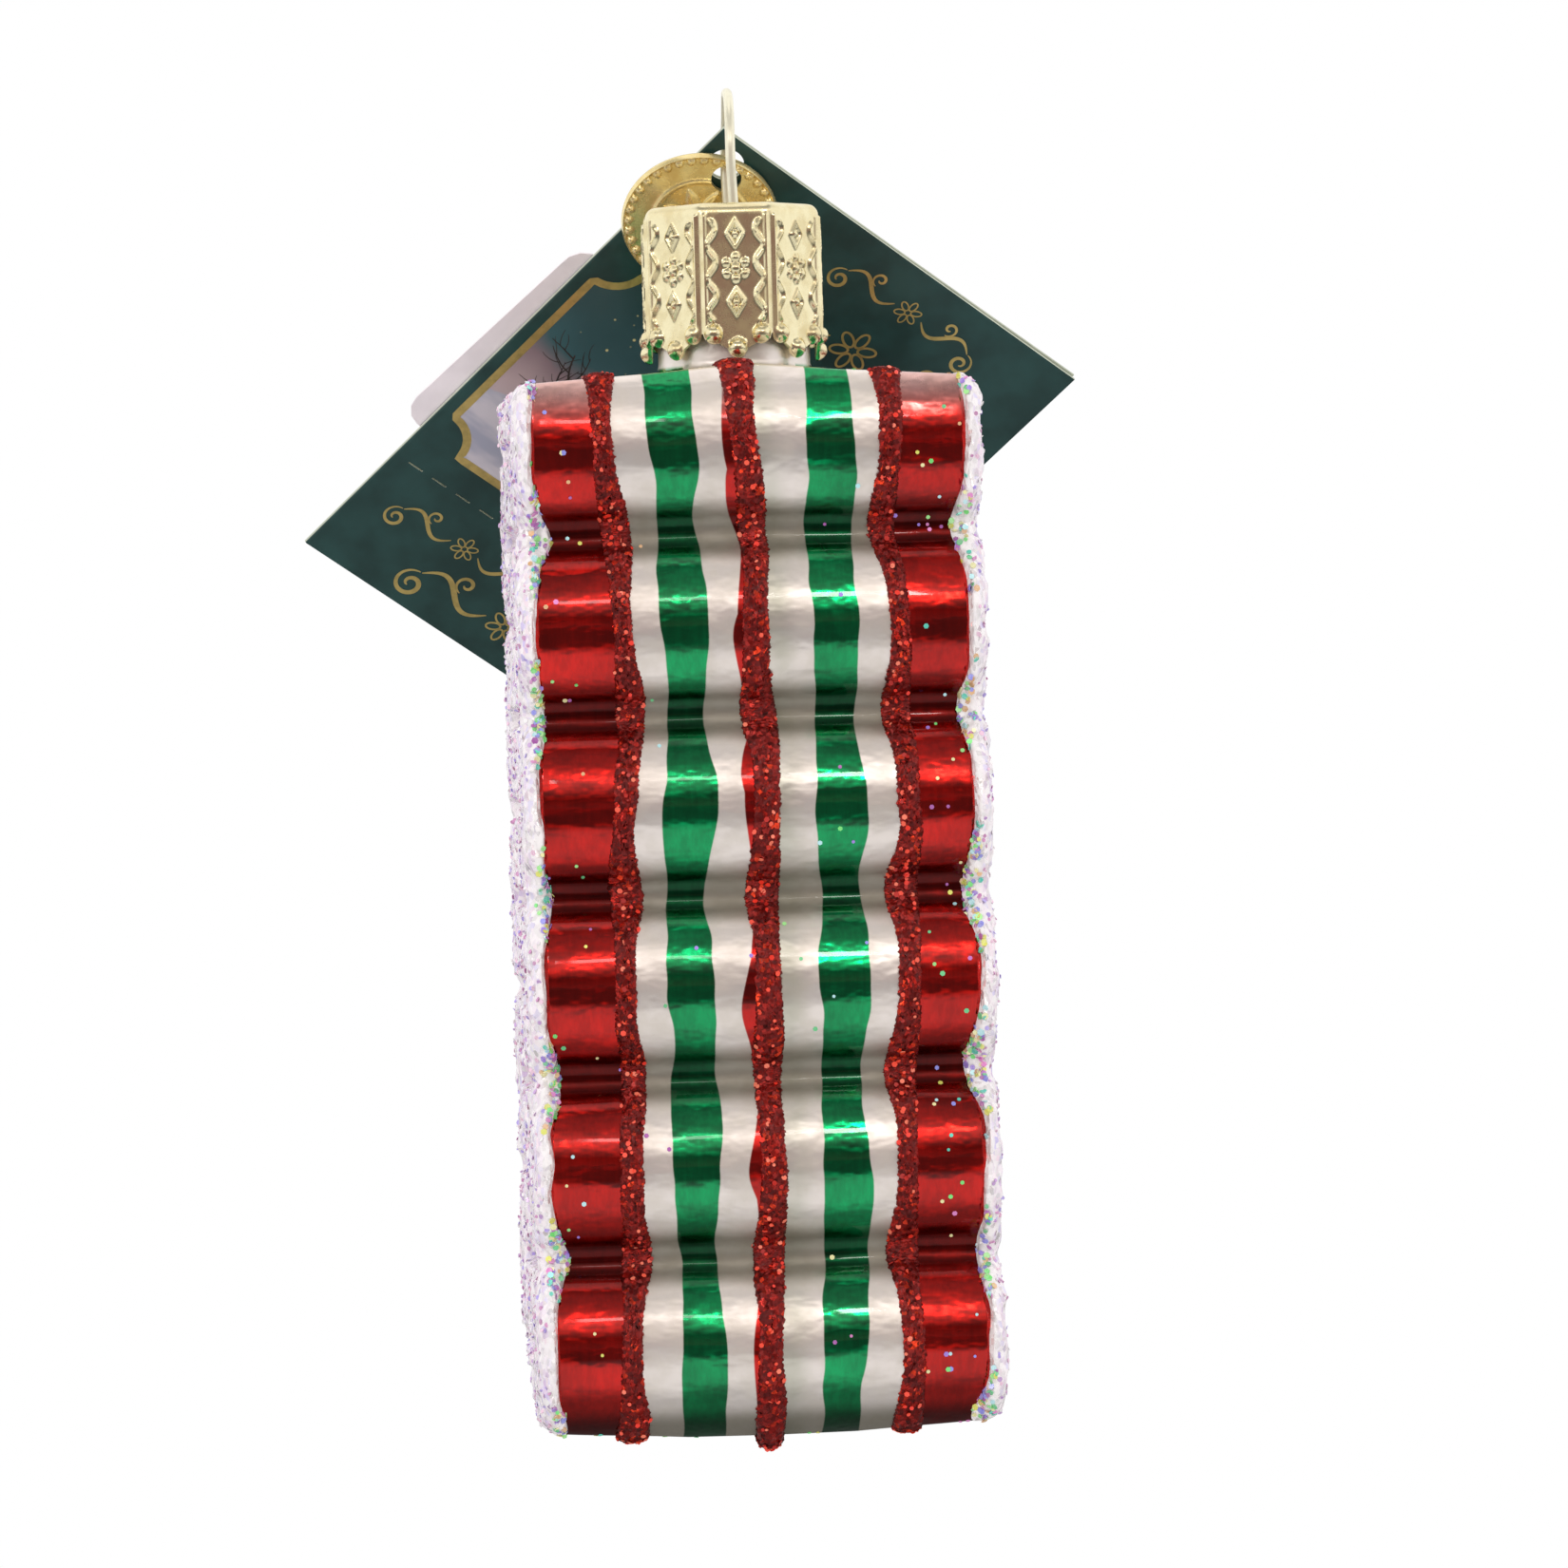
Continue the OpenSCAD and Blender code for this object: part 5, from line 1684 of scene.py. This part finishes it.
def card_place(p):
    """Frame of the card: X from the fold along the upper edge, Y up the fold, Z to the front."""
    place = strand_place("tag_swing") @ Matrix.Rotation(-p.card_roll, 4, "Z")
    return place @ Matrix.Translation((-p.hole_edge, p.hole_edge, 0))


# Scrolls on the card: across from the fold and down from the upper edge in millimetres, and their size
SCROLLS = ((24, 3.9, 0.62), (23, 9.7, 1.05), (11, 46, 0.62), (27, 46, 0.62), (19, 50.2, 0.85))


class ORNAMENT_OT_hang_tag(Operator):
    """Makes the folded card with its printed frame, scrolls and trees"""

    bl_idname = "ornament.hang_tag"
    bl_label = "Hang tag"

    def execute(self, context):
        p = context.scene.ornament_paper
        place, front = card_place(p), card_half(p)
        add_piece(card_mesh(p), card_material(p), "tag", ["hang_tag"], place, radians(40))
        lines = [(notched_frame(p), 0.36 * MM, True)]
        for across, down, size in SCROLLS:
            lines += flourish((across * MM, down * MM), size)
        foil = ink_material("gold_foil", p.foil, 0.6, 0.3)
        mesh = print_lines("hang_tag_foil", lines, front, 0.016 * MM)
        add_piece(mesh, foil, "tag", place=place, sharp=radians(30))
        ink = ink_material("twig_ink", (0.05, 0.035, 0.03), 0.0, 0.5)
        trees = bare_trees(p, np.random.default_rng(5))
        mesh = print_lines("hang_tag_tree", trees, front, 0.01 * MM)
        add_piece(mesh, ink, "tag", place=place, sharp=radians(30))
        return {"FINISHED"}


class ORNAMENT_OT_price_label(Operator):
    """Makes the blank pink label on the card's back"""

    bl_idname = "ornament.price_label"
    bl_label = "Price label"

    def execute(self, context):
        p = context.scene.ornament_paper
        long, tall, corner = p.label_length / 2, p.label_height / 2, p.label_radius
        outline = []
        for a, b, first in ((1, 1, 0), (-1, 1, pi / 2), (-1, -1, pi), (1, -1, 3 * pi / 2)):
            middle_u, middle_v = a * (long - corner), b * (tall - corner)
            for turn in np.linspace(first, first + pi / 2, 9):
                outline.append((middle_u + corner * cos(turn), middle_v + corner * sin(turn)))
        outline = resample(np.array(outline), 1.0 * MM, True)
        shares = (0.02, 0.3, 0.6, 0.85, 0.97, 1)
        rings = []
        for thick, sizes in ((0.0, shares), (p.label_thickness, shares[::-1])):
            for share in sizes:
                flat = (share * outline + [long, 0]) @ spin(p.label_turn)
                flat = flat + [-p.label_overhang, -p.label_drop]
                rings.append(np.c_[flat, -card_half(p) - back_lean(p, flat[:, 0]) - thick])
        mesh, paper = ring_mesh("price_label_blank", rings), label_material(p)
        add_piece(mesh, paper, "tag", ["price_label"], card_place(p), radians(40))
        return {"FINISHED"}


# Stage


def aimed(place, target, roll=0.0):
    """A frame at a place whose -Z looks at a target."""
    back = (Vector(place) - Vector(target)).normalized()
    right = Vector((0, 0, 1)).cross(back).normalized()
    frame_at = Matrix((right, back.cross(right), back)).transposed().to_4x4() @ Matrix.Rotation(roll, 4, "Z")
    frame_at.translation = place
    return frame_at


def polar(distance, azimuth, elevation, centre):
    """A place round a centre; azimuth 0 is in front and grows to the right."""
    a, e = radians(azimuth), radians(elevation)
    return Vector(centre) + distance * Vector((sin(a) * cos(e), -cos(a) * cos(e), sin(e)))


# What the front of the room shows in reflections, from below to above
FRONT_WALL = [
    (0.0, (0.1, 0.1, 0.1)), (0.47, (0.1, 0.07, 0.07)), (0.5, (0.36, 0.19, 0.18)),
    (0.53, (0.26, 0.15, 0.14)), (0.585, (0.1, 0.08, 0.08)), (0.64, (0.48, 0.43, 0.4)),
    (0.7, (1.05, 0.96, 0.88)), (0.735, (1.4, 1.28, 1.17)), (0.78, (0.9, 0.83, 0.77)),
    (0.84, (0.46, 0.44, 0.42)), (0.93, (0.3, 0.3, 0.3)), (0.958, (0.14, 0.14, 0.14)),
    (0.975, (1.25, 1.19, 1.14)), (1.0, (1.0, 0.96, 0.92)),
]


class ORNAMENT_OT_stage(Operator):
    """Sets the camera, the white floor, the room and the lamps"""

    bl_idname = "ornament.stage"
    bl_label = "Stage"

    def execute(self, context):
        scene = context.scene
        s = scene.ornament_stage
        self.room(scene, s)
        self.floor(s)
        self.lamp(s, "line_lamp", 14, 28, (0.045, 0.07), s.line_power, (1, 0.97, 0.94))
        self.lamp(s, "soft_line_lamp", -3, 28, (0.07, 0.05), s.soft_power, (1, 0.98, 0.96))
        self.lamp(s, "fill_lamp", -38, 30, (0.05, 0.05), s.fill_power, (1, 1, 1))
        self.camera(scene, s)
        scene.view_settings.view_transform = "Standard"
        return {"FINISHED"}

    @staticmethod
    def lamp(s, name, azimuth, elevation, size, watts, tint):
        """A rectangular lamp that shines on the middle of the ornament."""
        light = bpy.data.lights.new(name, "AREA")
        light.shape = "RECTANGLE"
        light.size, light.size_y = size
        light.energy, light.color = watts, tint
        lamp = link(name, light)
        middle = (0, 0, s.aim_height)
        lamp.matrix_world = aimed(polar(s.lamp_distance, azimuth, elevation, middle), middle)

    @staticmethod
    def camera(scene, s):
        """A camera that frames the ornament with the settings' width."""
        lens = bpy.data.cameras.new("camera")
        lens.sensor_width = 36
        lens.lens = lens.sensor_width * s.distance / s.frame_width
        lens.clip_start = 0.01
        right = Vector((cos(s.azimuth), sin(s.azimuth), 0))
        target = Vector((0, 0, s.aim_height)) + right * s.aim_right
        eye = target + s.distance * Vector((sin(s.azimuth), -cos(s.azimuth), 0))
        camera = link("camera", lens)
        camera.matrix_world = aimed(eye, target, s.roll)
        scene.camera = camera

    @staticmethod
    def seen(t):
        """Two masks: for rays seen straight or through glass, and for rays seen in mirrors."""
        ray = t.node("LightPath").outputs
        return t.most(ray["Is Camera Ray"], ray["Is Transmission Ray"]), ray["Is Glossy Ray"]

    def floor(self, s):
        """A white disc that takes a faint shadow and is clear from below."""
        sides = 96
        rim = [(s.floor_radius * x, s.floor_radius * y, s.floor_height) for x, y in circle(sides)]
        faces = [(0, 1 + k, 1 + (k + 1) % sides) for k in range(sides)]
        mesh = bpy.data.meshes.new("floor")
        mesh.from_pydata([(0, 0, s.floor_height)] + rim, [], faces)
        white = (0.86, 0.86, 0.86, 1)
        t = Tree.material("floor_white", Base_Color=white, Roughness=0.9, Specular_IOR_Level=0.0)
        clear, glossy = self.seen(t)
        x, y = t.object_place()[1:3]
        shadow = t.smooth(t.hypot(x, y), 150.0, 450.0, 0.9, 1.0)
        # In mirrors the floor dims far in front, and from just in front of the ornament backwards it is
        # darkened as a painted shadow of the ornament
        far, painted_shadow = t.smooth(y, -330.0, -190.0, 0.08, 0.85), t.smooth(y, -40.0, -95.0, 0.3, 1.0)
        lit = t.node("Emission", (1, 1, 1, 1), t.blend(clear, t.times(far, painted_shadow), 1.0)).outputs[0]
        share = t.most(t.times(clear, shadow), t.times(glossy, 0.95))
        mixed = t.node("MixShader", share, t.shader.outputs[0], lit).outputs[0]
        below = t.node("NewGeometry").outputs["Backfacing"]
        mixed = t.node("MixShader", below, mixed, t.node("BsdfTransparent").outputs[0]).outputs[0]
        t.feed(t.tree.nodes["Material Output"].inputs["Surface"], mixed)
        mesh.materials.append(t.owner)
        link("floor", mesh)

    def room(self, scene, s):
        """A room that is white to the camera, has a front wall in mirrors and gives even light."""
        world = bpy.data.worlds.new("white_room")
        world.use_nodes = True
        scene.world = world
        t = Tree(world.node_tree)
        clear, glossy = self.seen(t)
        way = t.node("SeparateXYZ", t.node("TexCoord").outputs["Generated"]).outputs
        height, aside = t.times(t.plus(way[2], 1.0), 0.5), t.math("ABSOLUTE", way[0])
        around = t.most(t.smooth(way[1], -0.1, 0.4), t.smooth(aside, 0.55, 0.85))
        mirrored = t.mix(around, t.ramp(height, FRONT_WALL), (1, 1, 1))
        soft = t.ramp(height, [(0.0, (0.4, 0.4, 0.4)), (0.5, (0.7, 0.7, 0.7)), (0.75, (1, 1, 1))])
        even = t.mix(t.smooth(way[1], -0.2, 0.5), soft, (0.8, 0.8, 0.8))
        even = t.mix(t.smooth(aside, 0.45, 0.9), even, (1.15, 1.15, 1.15))
        even = t.mix(1.0, even, (s.room, s.room, s.room), "MULTIPLY")
        background = world.node_tree.nodes["Background"]
        t.feed(background.inputs["Color"], t.mix(clear, t.mix(glossy, even, mirrored), (1, 1, 1)))
        background.inputs["Strength"].default_value = 1.0


# Panel and run


PIECES = (
    ORNAMENT_OT_glass_body,
    ORNAMENT_OT_glitter_bands,
    ORNAMENT_OT_sugar_crusts,
    ORNAMENT_OT_stray_flakes,
    ORNAMENT_OT_cap_crown,
    ORNAMENT_OT_hanger_wire,
    ORNAMENT_OT_charm,
    ORNAMENT_OT_hang_tag,
    ORNAMENT_OT_price_label,
    ORNAMENT_OT_stage,
)


class ORNAMENT_PT_pieces(Panel):
    """Lists the pieces in the order in which they are made"""

    bl_idname = "ORNAMENT_PT_pieces"
    bl_label = "Ribbon Candy Ornament"
    bl_space_type = "VIEW_3D"
    bl_region_type = "UI"
    bl_category = "Ornament"

    def draw(self, context):
        column = self.layout.column(align=True)
        for piece in PIECES:
            column.operator(piece.bl_idname)


def register():
    for group in GROUPS.values():
        bpy.utils.register_class(group)
    for name, group in GROUPS.items():
        setattr(bpy.types.Scene, name, PointerProperty(type=group))
    for made in (*PIECES, ORNAMENT_PT_pieces):
        bpy.utils.register_class(made)


def unregister():
    for made in (ORNAMENT_PT_pieces, *reversed(PIECES)):
        bpy.utils.unregister_class(made)
    for name in GROUPS:
        delattr(bpy.types.Scene, name)
    for group in reversed(list(GROUPS.values())):
        bpy.utils.unregister_class(group)


def main():
    """Makes every piece in order."""
    register()
    for piece in PIECES:
        group, name = piece.bl_idname.split(".")
        getattr(getattr(bpy.ops, group), name)()


if __name__ == "__main__":
    main()
